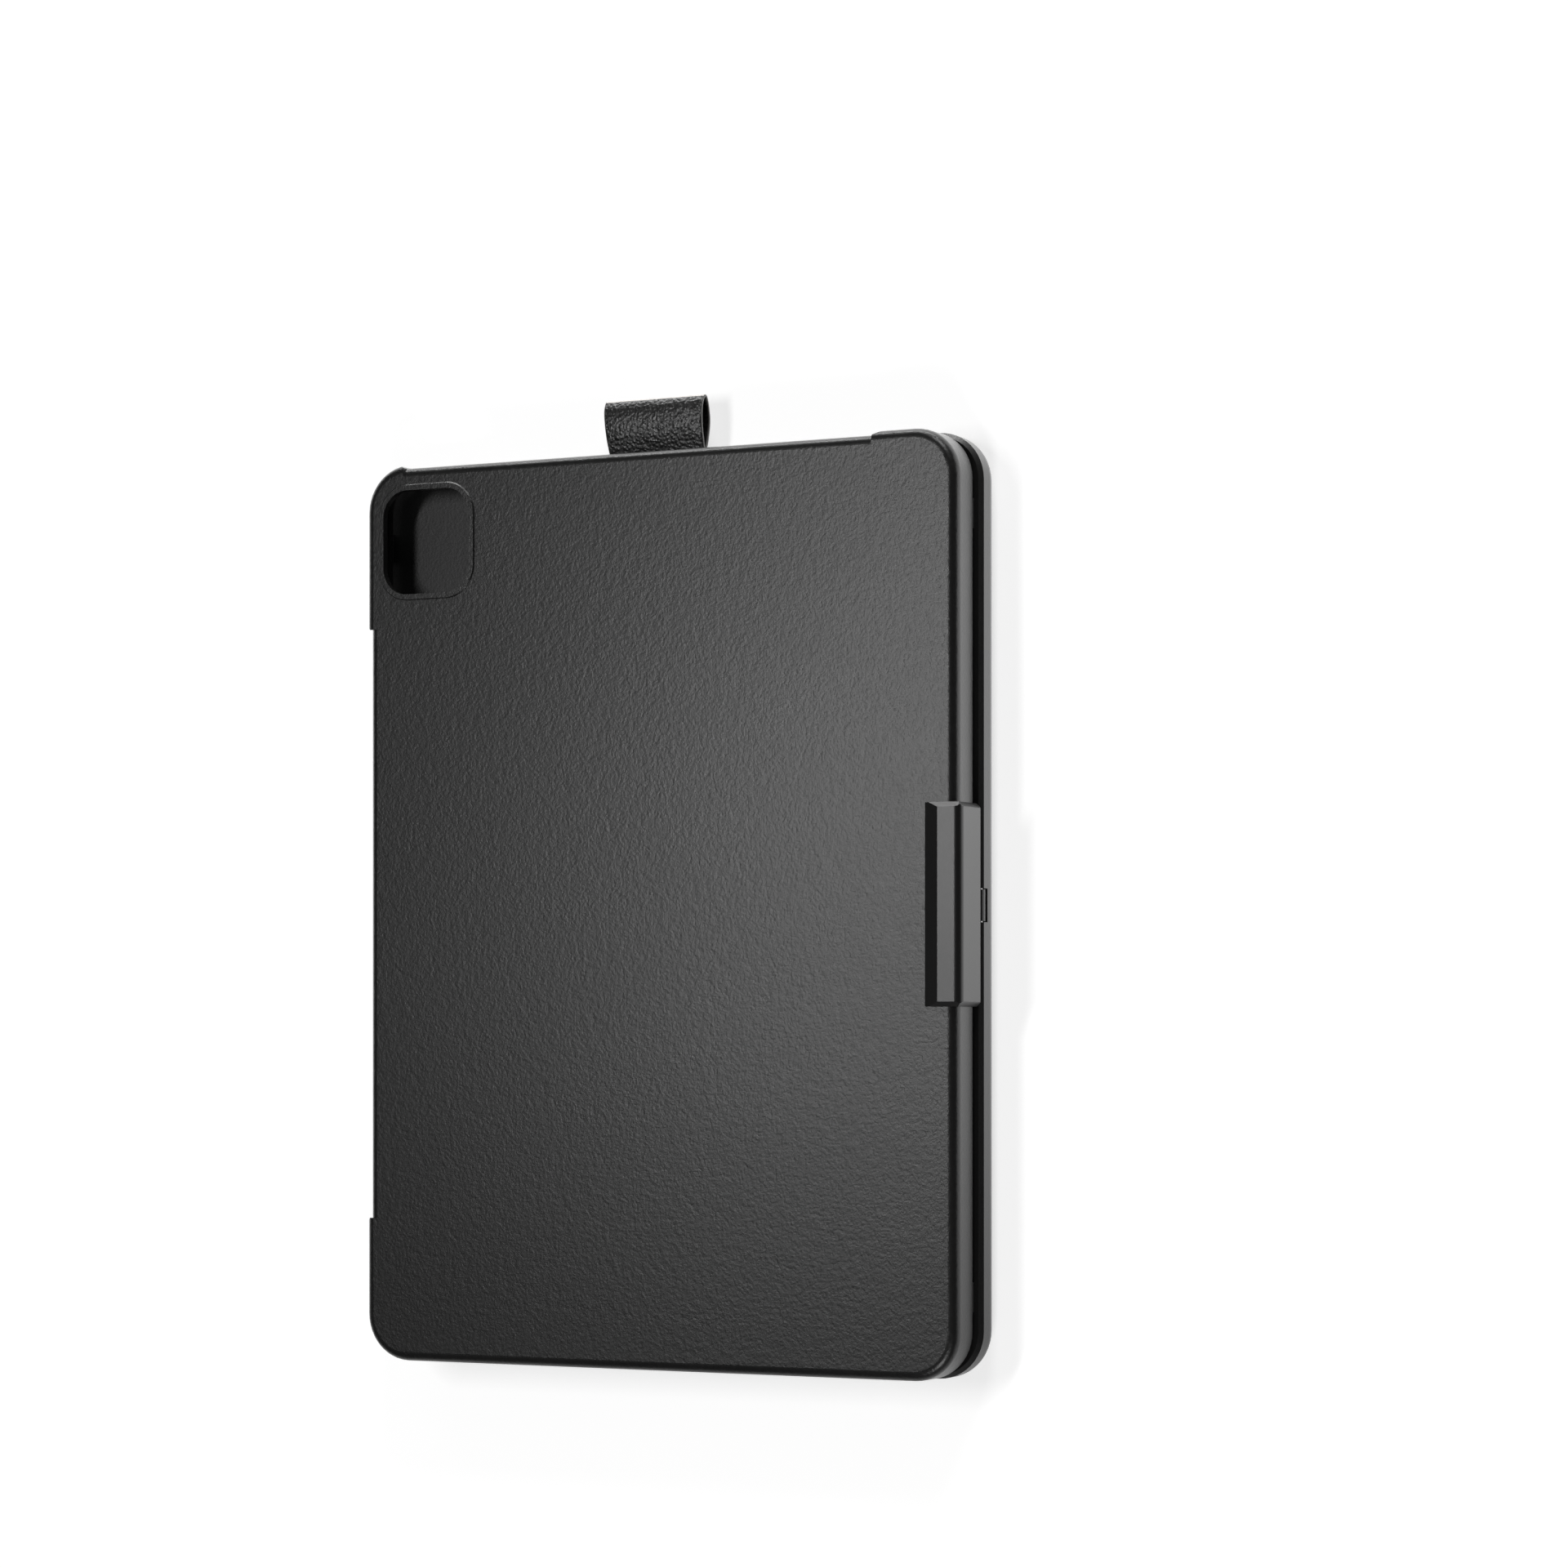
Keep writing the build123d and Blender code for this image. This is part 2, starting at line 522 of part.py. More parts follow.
with BuildPart() as base_top_deck:
    with BuildSketch(level(SEAM_Z)):
        RectangleRounded(LENGTH, BASE_WIDTH, BASE_CORNER)
    extrude(amount=RIM_HEIGHT)
    chamfer(base_top_deck.faces().sort_by(Axis.Z)[-1].edges(), BASE_TOP_BEVEL)
    with BuildSketch(level(SEAM_Z)) as deck_hollow:
        RectangleRounded(LENGTH - 2 * BASE_WALL, BASE_WIDTH - 2 * BASE_WALL, BASE_CORNER - BASE_WALL)
        with Locations((0, FRONT_Y + BASE_WALL)):
            Rectangle(
                NOTCH_LENGTH + 2 * NOTCH_BACKING,
                NOTCH_INSET + NOTCH_BACKING - BASE_WALL,
                align=(Align.CENTER, Align.MIN),
                mode=Mode.SUBTRACT,
            )
        with Locations((0, REAR_Y - BASE_WALL)):
            Rectangle(
                EYE_ROOM_LENGTH + 2 * BASE_WALL,
                REAR_Y - EYE_ROOM_FRONT_Y,
                align=(Align.CENTER, Align.MAX),
                mode=Mode.SUBTRACT,
            )
        with Locations((-SIDE_X + BASE_WALL, LOOP_Y)):
            Rectangle(
                LOOP_TAIL,
                LOOP_WIDTH + 2 * BASE_WALL,
                align=(Align.MIN, Align.CENTER),
                mode=Mode.SUBTRACT,
            )
    extrude(amount=RIM_HEIGHT - DECK_PLATE, mode=Mode.SUBTRACT)
    # Screw bosses down to those of the cover
    with BuildSketch(level(BOSS_TOP_Z)):
        with Locations(FOOT_PLACES):
            small_round(SCREW_HEAD_RADIUS + BOSS_WALL)
    extrude(amount=UNDER_DECK_Z - BOSS_TOP_Z)
    with BuildSketch(level(BOSS_TOP_Z)):
        with Locations(FOOT_PLACES):
            small_round(SCREW_RADIUS)
    extrude(amount=SCREW_LENGTH, mode=Mode.SUBTRACT)
    # Key, touchpad and light openings
    with BuildSketch(level(UNDER_DECK_Z)):
        for _, x, y, length, width in KEYS:
            with Locations((x, y)):
                Rectangle(length + 2 * KEY_CLEARANCE, width + 2 * KEY_CLEARANCE)
        with Locations((0, PAD_Y)):
            RectangleRounded(
                PAD_LENGTH + 2 * PAD_CLEARANCE,
                PAD_WIDTH + 2 * PAD_CLEARANCE,
                PAD_CORNER + PAD_CLEARANCE,
            )
        with Locations(LIGHT_PLACES):
            small_round(LIGHT_RADIUS)
    extrude(amount=DECK_PLATE, mode=Mode.SUBTRACT)
    # Seats of the bumpers
    with BuildSketch(level(TOP_Z - BUMPER_SEAT)):
        with Locations(BUMPER_PLACES):
            Rectangle(BUMPER_LENGTH, BUMPER_WIDTH)
    extrude(amount=BUMPER_SEAT, mode=Mode.SUBTRACT)
    add(thumb_notch.part, mode=Mode.SUBTRACT)
    add(eye_room.part, mode=Mode.SUBTRACT)
    add(shaft_room.part, mode=Mode.SUBTRACT)
    add(bracket_room.part, mode=Mode.SUBTRACT)
    add(tail_slot.part, mode=Mode.SUBTRACT)
save(base_top_deck, "base_top_deck")

# A domed foot: flat tip on the table, sloping shoulder, and a plug that closes the screw's hole
with BuildPart() as foot:
    with BuildSketch(Plane.XZ):
        with BuildLine():
            Polyline(
                (0, 0),
                (0, BASE_Z),
                (FOOT_RADIUS, BASE_Z),
                (FOOT_RADIUS, BASE_Z - FOOT_EDGE),
                (FOOT_SHOULDER_RADIUS, FOOT_SHOULDER_HEIGHT),
                (FOOT_TIP_RADIUS, 0),
                close=True,
            )
        make_face()
    revolve(axis=Axis.Z)
    with BuildSketch(level(BASE_Z)):
        small_round(SCREW_HEAD_RADIUS)
    extrude(amount=FOOT_PLUG)

with BuildPart() as rubber_feet:
    with Locations(FOOT_PLACES):
        add(foot.part)
save(rubber_feet, "rubber_feet")

with BuildPart() as case_screws:
    with BuildSketch(level(BASE_Z + FOOT_PLUG)):
        with Locations(FOOT_PLACES):
            small_round(SCREW_HEAD_RADIUS)
    extrude(amount=SCREW_HEAD_HEIGHT)
    with BuildSketch(level(BASE_Z + FOOT_PLUG + SCREW_HEAD_HEIGHT)):
        with Locations(FOOT_PLACES):
            small_round(SCREW_RADIUS)
    extrude(amount=BOSS_TOP_Z + SCREW_LENGTH - BASE_Z - FOOT_PLUG - SCREW_HEAD_HEIGHT)
save(case_screws, "case_screws")

with BuildPart() as deck_bumpers:
    with BuildSketch(level(TOP_Z - BUMPER_SEAT)):
        with Locations(BUMPER_PLACES):
            Rectangle(BUMPER_LENGTH, BUMPER_WIDTH)
    extrude(amount=BUMPER_SEAT + CLOSED_GAP - BUMPER_CLEARANCE)
save(deck_bumpers, "deck_bumpers")

# ---- Keys, with the plate and sheet under them ----


def make_keys(node):
    """All the keys of one node: caps that stand through the deck, with their corners taken off."""
    with BuildPart() as keys:
        with BuildSketch(level(KEY_BOTTOM_Z)) as caps:
            for key_node, x, y, length, width in KEYS:
                if key_node == node:
                    with Locations((x, y)):
                        Rectangle(length, width)
            chamfer(caps.vertices(), KEY_CORNER)
        extrude(amount=TOP_Z + KEY_PROUD - KEY_BOTTOM_Z)
    save(keys, node)


for key_node in sorted({node for node, *_ in KEYS}):
    make_keys(key_node)

with BuildPart() as key_membrane:
    with BuildSketch(level(PLATE_TOP_Z)):
        with Locations((0, KEYS_Y)):
            Rectangle(PLATE_LENGTH, PLATE_WIDTH)
    extrude(amount=SHEET_THICKNESS)
save(key_membrane, "key_membrane")

with BuildPart() as key_plate:
    with BuildSketch(level(PLATE_Z)):
        with Locations((0, KEYS_Y)):
            Rectangle(PLATE_LENGTH, PLATE_WIDTH)
    extrude(amount=PLATE_THICKNESS)
save(key_plate, "key_plate")

# ---- Touchpad ----

with BuildPart() as touchpad_plate:
    with BuildSketch(level(PAD_BOTTOM_Z)):
        with Locations((0, PAD_Y)):
            RectangleRounded(PAD_LENGTH, PAD_WIDTH, PAD_CORNER)
    extrude(amount=PAD_THICKNESS)
save(touchpad_plate, "touchpad_plate")

with BuildPart() as touchpad_bracket:
    with BuildSketch(level(UNDER_DECK_Z - PAD_FRAME_THICKNESS)):
        with Locations((0, PAD_Y)):
            Rectangle(PAD_LENGTH + 2 * PAD_FRAME_MARGIN, PAD_WIDTH + PAD_FRAME_MARGIN)
            RegularPolygon(PAD_SWITCH_RADIUS, SMALL_SIDES, mode=Mode.SUBTRACT)
    extrude(amount=PAD_FRAME_THICKNESS)
save(touchpad_bracket, "touchpad_bracket")

# ---- Electronics in the base ----

with BuildPart() as main_circuit_board:
    with BuildSketch(level(FLOOR_Z)):
        with Locations((0, PAD_Y)):
            Rectangle(BOARD_LENGTH, BOARD_WIDTH)
    extrude(amount=BOARD_THICKNESS)
save(main_circuit_board, "main_circuit_board")

with BuildPart() as touchpad_switch:
    with BuildSketch(level(FLOOR_Z + BOARD_THICKNESS)):
        with Locations((0, PAD_Y)):
            small_round(PAD_SWITCH_RADIUS - PAD_CLEARANCE)
    extrude(amount=PAD_BOTTOM_Z - PAD_TRAVEL - PAD_SWITCH_PLAY - FLOOR_Z - BOARD_THICKNESS)
save(touchpad_switch, "touchpad_switch")

with BuildPart() as battery_cells:
    with BuildSketch(level(FLOOR_Z)):
        with Locations((0, KEYS_Y)):
            with GridLocations(CELL_SPACING, 0, 2, 1):
                Rectangle(CELL_LENGTH, CELL_WIDTH)
    extrude(amount=CELL_THICKNESS)
save(battery_cells, "battery_cells")

with BuildPart() as sleep_magnets:
    with BuildSketch(level(UNDER_DECK_Z - MAGNET_THICKNESS)):
        with Locations((0, PAD_Y)):
            with GridLocations(MAGNET_SPACING, 0, 2, 1):
                small_round(MAGNET_RADIUS)
    extrude(amount=MAGNET_THICKNESS)
save(sleep_magnets, "sleep_magnets")

with BuildPart() as status_light:
    with BuildSketch(level(UNDER_DECK_Z)):
        with Locations(LIGHT_PLACES):
            small_round(LIGHT_RADIUS)
    extrude(amount=DECK_PLATE)
save(status_light, "status_light")

with BuildPart() as usb_c_port:
    with BuildSketch(Plane.YZ.offset(SIDE_X - PORT_DEPTH)):
        with Locations((PORT_Y, PORT_Z)):
            SlotOverall(PORT_WIDTH, PORT_HEIGHT)
    extrude(amount=PORT_DEPTH - PORT_SHELL)
    with BuildSketch(Plane.YZ.offset(SIDE_X - PORT_DEPTH + PORT_SHELL)):
        with Locations((PORT_Y, PORT_Z)):
            SlotOverall(PORT_WIDTH - 2 * PORT_SHELL, PORT_HEIGHT - 2 * PORT_SHELL)
            Rectangle(PORT_WIDTH - PORT_HEIGHT, PORT_TONGUE, mode=Mode.SUBTRACT)
    extrude(amount=PORT_DEPTH, mode=Mode.SUBTRACT)
save(usb_c_port, "usb_c_port")

with BuildPart() as power_switch_body:
    with BuildSketch(Plane.YZ.offset(SIDE_X - BASE_WALL - PORT_CLEARANCE - SWITCH_BODY_DEPTH)):
        with Locations((SWITCH_Y, PORT_Z)):
            Rectangle(SWITCH_KNOB_LENGTH + 2 * SWITCH_TRAVEL, SWITCH_BODY_HEIGHT)
    extrude(amount=SWITCH_BODY_DEPTH)
save(power_switch_body, "power_switch_body")

with BuildPart() as power_switch_knob:
    with BuildSketch(Plane.YZ.offset(SIDE_X - BASE_WALL + PORT_CLEARANCE)):
        with Locations((SWITCH_Y - SWITCH_TRAVEL / 2, PORT_Z)):
            Rectangle(SWITCH_KNOB_LENGTH, SWITCH_KNOB_HEIGHT)
    extrude(amount=BASE_WALL + SWITCH_PROUD - PORT_CLEARANCE)
save(power_switch_knob, "power_switch_knob")

# ---- Pencil loop: a flattened tube of leather with its tail in the base ----

with BuildPart() as pencil_loop:
    with BuildSketch(Plane.XZ.offset(-LOOP_Y - LOOP_WIDTH / 2)):
        with BuildLine():
            RadiusArc((-SIDE_X, SEAM_Z), (-SIDE_X - LOOP_REACH, SEAM_Z), LOOP_RADIUS)
            RadiusArc((-SIDE_X - LOOP_REACH, SEAM_Z), (-SIDE_X, SEAM_Z), LOOP_RADIUS)
        make_face()
        with BuildLine():
            RadiusArc(
                (-SIDE_X - LOOP_ROOT, SEAM_Z),
                (-SIDE_X - LOOP_REACH + LEATHER, SEAM_Z),
                LOOP_INNER_RADIUS,
            )
            RadiusArc(
                (-SIDE_X - LOOP_REACH + LEATHER, SEAM_Z),
                (-SIDE_X - LOOP_ROOT, SEAM_Z),
                LOOP_INNER_RADIUS,
            )
        make_face(mode=Mode.SUBTRACT)
        with Locations((-SIDE_X - LOOP_ROOT / 2, SEAM_Z)):
            Rectangle(LOOP_TAIL + LOOP_ROOT / 2, 2 * LEATHER, align=(Align.MIN, Align.CENTER))
    extrude(amount=LOOP_WIDTH)
save(pencil_loop, "pencil_loop")

# ---- Hinge ----

with BuildPart() as hinge_shaft:
    with BuildSketch(Plane.YZ.offset(-SHAFT_LENGTH / 2)):
        with Locations((PIN_Y, PIN_Z)):
            Circle(SHAFT_RADIUS)
    extrude(amount=SHAFT_LENGTH)
save(hinge_shaft, "hinge_shaft")

# One bracket each side of the eye, reaching into the rear wall to hold the shaft
with BuildPart() as hinge_brackets:
    with BuildSketch(level(BRACKET_Z)):
        with Locations((0, REAR_Y - BASE_WALL - BRACKET_WIDTH)):
            with GridLocations(2 * BRACKET_X, 0, 2, 1):
                Rectangle(
                    BRACKET_LENGTH,
                    PIN_Y - REAR_Y + BASE_WALL + BRACKET_WIDTH,
                    align=(Align.CENTER, Align.MIN),
                )
    extrude(amount=BRACKET_HEIGHT)
    with BuildSketch(Plane.YZ.offset(-SIDE_X)):
        with Locations((PIN_Y, PIN_Z)):
            Circle(SHAFT_RADIUS + BRACKET_PLAY)
    extrude(amount=LENGTH, mode=Mode.SUBTRACT)
    with BuildSketch(level(BRACKET_Z)):
        with Locations(BRACKET_SCREW_PLACES):
            small_round(SCREW_RADIUS + SCREW_CLEARANCE)
    extrude(amount=BRACKET_HEIGHT, mode=Mode.SUBTRACT)
    with BuildSketch(level(BRACKET_Z + BRACKET_HEIGHT - SCREW_HEAD_HEIGHT)):
        with Locations(BRACKET_SCREW_PLACES):
            small_round(SCREW_HEAD_RADIUS + SCREW_CLEARANCE)
    extrude(amount=SCREW_HEAD_HEIGHT, mode=Mode.SUBTRACT)
save(hinge_brackets, "hinge_brackets")

with BuildPart() as bracket_screws:
    with BuildSketch(level(BRACKET_Z - BRACKET_SCREW_GRIP)):
        with Locations(BRACKET_SCREW_PLACES):
            small_round(SCREW_RADIUS)
    extrude(amount=BRACKET_SCREW_GRIP + BRACKET_HEIGHT - SCREW_HEAD_HEIGHT)
    with BuildSketch(level(BRACKET_Z + BRACKET_HEIGHT - SCREW_HEAD_HEIGHT)):
        with Locations(BRACKET_SCREW_PLACES):
            small_round(SCREW_HEAD_RADIUS)
    extrude(amount=SCREW_HEAD_HEIGHT)
save(bracket_screws, "bracket_screws")

# Blank of the steel arm: a flange on the lid's back, a leg down its rear wall, and a narrow neck
with BuildPart() as arm_blank:
    with BuildSketch(Plane.YZ.offset(-ARM_LENGTH / 2)):
        with Locations((ARM_REAR_Y, ARM_TOP_Z)):
            Rectangle(ARM_FLANGE_WIDTH, ARM_THICKNESS, align=(Align.MAX, Align.MAX))
            Rectangle(ARM_THICKNESS, ARM_TOP_Z - COVER_Z - ARM_LIFT, align=(Align.MAX, Align.MAX))
    extrude(amount=ARM_LENGTH)
    with BuildSketch(Plane.YZ.offset(-ARM_NECK_WIDTH / 2)):
        with Locations((PIN_Y, PIN_Z)):
            Rectangle(ARM_THICKNESS, COVER_Z + ARM_LIFT - PIN_Z, align=(Align.CENTER, Align.MIN))
    extrude(amount=ARM_NECK_WIDTH)

# The arm itself, with its eye round the shaft and its screw holes
with BuildPart() as hinge_arm:
    add(arm_blank.part)
    with BuildSketch(Plane.YZ.offset(-ARM_NECK_WIDTH / 2)):
        with Locations((PIN_Y, PIN_Z)):
            Circle(EYE_RADIUS)
    extrude(amount=ARM_NECK_WIDTH)
    with BuildSketch(Plane.YZ.offset(-ARM_NECK_WIDTH / 2)):
        with Locations((PIN_Y, PIN_Z)):
            Circle(SHAFT_RADIUS + EYE_PLAY)
    extrude(amount=ARM_NECK_WIDTH, mode=Mode.SUBTRACT)
    with BuildSketch(level(LID_TOP_Z)):
        with Locations((0, HINGE_SCREW_Y)):
            with GridLocations(HINGE_SCREW_PITCH, 0, HINGE_SCREW_COUNT, 1):
                small_round(HINGE_SCREW_RADIUS + EYE_PLAY)
    extrude(amount=ARM_THICKNESS, mode=Mode.SUBTRACT)
    with BuildSketch(level(ARM_TOP_Z - HINGE_SCREW_HEAD_HEIGHT)):
        with Locations((0, HINGE_SCREW_Y)):
            with GridLocations(HINGE_SCREW_PITCH, 0, HINGE_SCREW_COUNT, 1):
                small_round(HINGE_SCREW_HEAD_RADIUS + EYE_PLAY)
    extrude(amount=HINGE_SCREW_HEAD_HEIGHT, mode=Mode.SUBTRACT)
save(hinge_arm, "hinge_arm")

with BuildPart() as hinge_arm_screws:
    with BuildSketch(level(LID_TOP_Z - HINGE_SCREW_GRIP)):
        with Locations((0, HINGE_SCREW_Y)):
            with GridLocations(HINGE_SCREW_PITCH, 0, HINGE_SCREW_COUNT, 1):
                small_round(HINGE_SCREW_RADIUS)
    extrude(amount=HINGE_SCREW_GRIP + ARM_THICKNESS - HINGE_SCREW_HEAD_HEIGHT)
    with BuildSketch(level(ARM_TOP_Z - HINGE_SCREW_HEAD_HEIGHT)):
        with Locations((0, HINGE_SCREW_Y)):
            with GridLocations(HINGE_SCREW_PITCH, 0, HINGE_SCREW_COUNT, 1):
                small_round(HINGE_SCREW_HEAD_RADIUS)
    extrude(amount=HINGE_SCREW_HEAD_HEIGHT)
save(hinge_arm_screws, "hinge_arm_screws")

# Moulded cover over the arm: sloped inner edge, flat top, rounded outer edge and a wall down to the gap
with BuildPart() as hinge_cover:
    with BuildSketch(Plane.YZ.offset(-COVER_LENGTH / 2)) as cover_profile:
        with BuildLine():
            Polyline(
                (REAR_Y, COVER_Z),
                (REAR_Y, COVER_TOP_Z),
                (REAR_Y - COVER_FLANGE_WIDTH + COVER_SLOPE_WIDTH, COVER_TOP_Z),
                (REAR_Y - COVER_FLANGE_WIDTH, LID_TOP_Z),
                (LID_REAR_Y, LID_TOP_Z),
                (LID_REAR_Y, COVER_Z),
                close=True,
            )
        make_face()
        fillet(cover_profile.vertices().group_by(Axis.X)[-1].sort_by(Axis.Y)[-1], COVER_TOP_ROUND)
        fillet(cover_profile.vertices().sort_by(Axis.Y)[:2].sort_by(Axis.X)[-1], COVER_FOOT_ROUND)
        fillet(
            cover_profile.vertices().sort_by_distance(Vertex(LID_REAR_Y, LID_TOP_Z, 0))[0],
            LID_EDGE_ROUND,
        )
    extrude(amount=COVER_LENGTH)
    # Ends bevelled towards the top and towards the rear
    with BuildSketch(Plane.XZ.offset(-REAR_Y)) as end_bevels:
        with Locations((0, COVER_TOP_Z)):
            Rectangle(COVER_LENGTH, COVER_TOP_Z - COVER_Z, align=(Align.CENTER, Align.MAX))
        chamfer(end_bevels.vertices().group_by(Axis.Y)[-1], COVER_END_CHAMFER)
    extrude(amount=COVER_FLANGE_WIDTH, mode=Mode.INTERSECT)
    with BuildSketch(level(COVER_Z)) as corner_bevels:
        with Locations((0, REAR_Y)):
            Rectangle(COVER_LENGTH, COVER_FLANGE_WIDTH, align=(Align.CENTER, Align.MAX))
        chamfer(corner_bevels.vertices().group_by(Axis.Y)[-1], COVER_END_CHAMFER)
    extrude(amount=COVER_TOP_Z - COVER_Z, mode=Mode.INTERSECT)
    add(arm_blank.part, mode=Mode.SUBTRACT)
save(hinge_cover, "hinge_cover")

# ---- Lid ----

# What the lid's outline gives up between its grips: the strip outside a slightly smaller outline
with BuildPart() as recessed_outline:
    with BuildSketch(level(LID_Z - MARGIN)):
        with Locations((-SIDE_X + LOOP_SIDE_RECESS, FRONT_Y + FRONT_RECESS)):
            Rectangle(
                LENGTH - LOOP_SIDE_RECESS,
                LID_WIDTH - FRONT_RECESS,
                align=(Align.MIN, Align.MIN),
            )
    extrude(amount=LID_HEIGHT + MARGIN)
    fillet(recessed_outline.faces().sort_by(Axis.Z)[-1].edges(), LID_EDGE_ROUND)

with BuildPart() as recess:
    with BuildSketch(level(LID_Z - MARGIN)):
        with BuildLine():
            Polyline(
                (FRONT_OPEN_X[0] - FRONT_RAMP, FRONT_Y - MARGIN),
                (FRONT_OPEN_X[0] - FRONT_RAMP, FRONT_Y),
                (FRONT_OPEN_X[0], FRONT_Y + FRONT_RECESS),
                (FRONT_OPEN_X[0], TRAY_FRONT_Y + LID_EDGE_ROUND),
                (FRONT_OPEN_X[1], TRAY_FRONT_Y + LID_EDGE_ROUND),
                (FRONT_OPEN_X[1], FRONT_Y + FRONT_RECESS),
                (FRONT_OPEN_X[1] + FRONT_RAMP, FRONT_Y),
                (FRONT_OPEN_X[1] + FRONT_RAMP, FRONT_Y - MARGIN),
                close=True,
            )
        make_face()
        with BuildLine():
            Polyline(
                (-SIDE_X - MARGIN, SIDE_OPEN_Y[0] - SIDE_RAMP),
                (-SIDE_X, SIDE_OPEN_Y[0] - SIDE_RAMP),
                (-SIDE_X + LOOP_SIDE_RECESS, SIDE_OPEN_Y[0]),
                (-SIDE_X + LID_SIDE_WALL + LID_EDGE_ROUND, SIDE_OPEN_Y[0]),
                (-SIDE_X + LID_SIDE_WALL + LID_EDGE_ROUND, SIDE_OPEN_Y[1]),
                (-SIDE_X + LOOP_SIDE_RECESS, SIDE_OPEN_Y[1]),
                (-SIDE_X, SIDE_OPEN_Y[1] + SIDE_RAMP),
                (-SIDE_X - MARGIN, SIDE_OPEN_Y[1] + SIDE_RAMP),
                close=True,
            )
        make_face()
    extrude(amount=LID_HEIGHT + 2 * MARGIN)
    add(recessed_outline.part, mode=Mode.SUBTRACT)

with BuildPart() as lid_shell:
    with BuildSketch(level(LID_Z)):
        with Locations((0, LID_Y)):
            RectangleRounded(LENGTH, LID_WIDTH, BASE_CORNER)
    extrude(amount=LID_HEIGHT)
    fillet(lid_shell.faces().sort_by(Axis.Z)[-1].edges(), LID_EDGE_ROUND)
    add(recess.part, mode=Mode.SUBTRACT)
    # Tray for the tablet, with a lip that holds it in
    with BuildSketch(level(LID_Z)):
        with Locations((0, TRAY_Y)):
            RectangleRounded(
                TRAY_LENGTH - 2 * LIP_OVERHANG,
                TRAY_WIDTH - 2 * LIP_OVERHANG,
                TRAY_CORNER - LIP_OVERHANG,
            )
    extrude(amount=LIP_HEIGHT, mode=Mode.SUBTRACT)
    with BuildSketch(level(LID_Z + LIP_HEIGHT)):
        with Locations((0, TRAY_Y)):
            RectangleRounded(TRAY_LENGTH, TRAY_WIDTH, TRAY_CORNER)
    extrude(amount=TRAY_DEPTH, mode=Mode.SUBTRACT)
    # Walls left open between the grips, and at the ports
    with BuildSketch(level(LID_Z)):
        with Locations((sum(FRONT_OPEN_X) / 2, FRONT_Y)):
            Rectangle(
                FRONT_OPEN_X[1] - FRONT_OPEN_X[0],
                2 * (LID_FRONT_WALL + LIP_OVERHANG),
            )
        with Locations((-SIDE_X, sum(SIDE_OPEN_Y) / 2)):
            Rectangle(
                2 * (LID_SIDE_WALL + LIP_OVERHANG),
                SIDE_OPEN_Y[1] - SIDE_OPEN_Y[0],
            )
        with Locations((SIDE_X, TRAY_Y)):
            Rectangle(2 * (LID_SIDE_WALL + LIP_OVERHANG), PORT_WINDOW_LENGTH)
    extrude(amount=RAIL_Z - LID_Z, mode=Mode.SUBTRACT)
    # Camera window with a raised rim
    with BuildSketch(level(LID_TOP_Z)):
        with Locations((WINDOW_X, WINDOW_Y)):
            RectangleRounded(
                WINDOW_LENGTH + 2 * WINDOW_RIM,
                WINDOW_WIDTH + 2 * WINDOW_RIM,
                WINDOW_CORNER + WINDOW_RIM,
            )
    extrude(amount=WINDOW_RIM_PROUD)
    chamfer(lid_shell.faces().sort_by(Axis.Z)[-1].edges(), WINDOW_RIM_BEVEL)
    with BuildSketch(level(TRAY_Z)):
        with Locations((WINDOW_X, WINDOW_Y)):
            RectangleRounded(WINDOW_LENGTH, WINDOW_WIDTH, WINDOW_CORNER)
    extrude(amount=LID_BACK_PLATE + WINDOW_RIM_PROUD, mode=Mode.SUBTRACT)
    # Slots of the volume buttons, wider inside for their flanges
    with BuildSketch(Plane.XZ.offset(-FRONT_Y)):
        with Locations([(x, BUTTON_Z) for x in BUTTON_X.values()]):
            SlotOverall(BUTTON_LENGTH + 2 * BUTTON_CLEARANCE, BUTTON_HEIGHT + 2 * BUTTON_CLEARANCE)
    extrude(amount=-LID_FRONT_WALL, mode=Mode.SUBTRACT)
    with BuildSketch(Plane.XZ.offset(-FRONT_Y - BUTTON_SKIN)):
        with Locations([(x, BUTTON_Z) for x in BUTTON_X.values()]):
            Rectangle(
                BUTTON_LENGTH + 2 * (BUTTON_FLANGE + BUTTON_CLEARANCE),
                BUTTON_HEIGHT + 2 * (BUTTON_FLANGE + BUTTON_CLEARANCE),
            )
    extrude(amount=-(LID_FRONT_WALL - BUTTON_SKIN), mode=Mode.SUBTRACT)
    add(hinge_arm_screws.part, mode=Mode.SUBTRACT)
save(lid_shell, "lid_shell")

for button_name, button_x in BUTTON_X.items():
    with BuildPart() as volume_button:
        with BuildSketch(Plane.XZ.offset(-FRONT_Y + BUTTON_PROUD)):
            with Locations((button_x, BUTTON_Z)):
                SlotOverall(BUTTON_LENGTH, BUTTON_HEIGHT)
        extrude(amount=-(BUTTON_PROUD + BUTTON_SKIN + BUTTON_SEAT_PLAY))
        chamfer(volume_button.faces().sort_by(Axis.Y)[0].edges(), BUTTON_BEVEL)
        with BuildSketch(Plane.XZ.offset(-FRONT_Y - BUTTON_SKIN - BUTTON_SEAT_PLAY)):
            with Locations((button_x, BUTTON_Z)):
                Rectangle(BUTTON_LENGTH + 2 * BUTTON_FLANGE, BUTTON_HEIGHT + 2 * BUTTON_FLANGE)
        extrude(amount=-BUTTON_FLANGE_THICKNESS)
    save(volume_button, button_name)
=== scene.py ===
"""Looks of a tablet keyboard case: a moulded lid over a thin keyboard base, joined by a covered hinge.

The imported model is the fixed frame. Each class below dresses one sub-assembly, and the leather
pencil loop is built here as its own piece. Lengths are in metres unless a name says otherwise.
"""

from __future__ import annotations

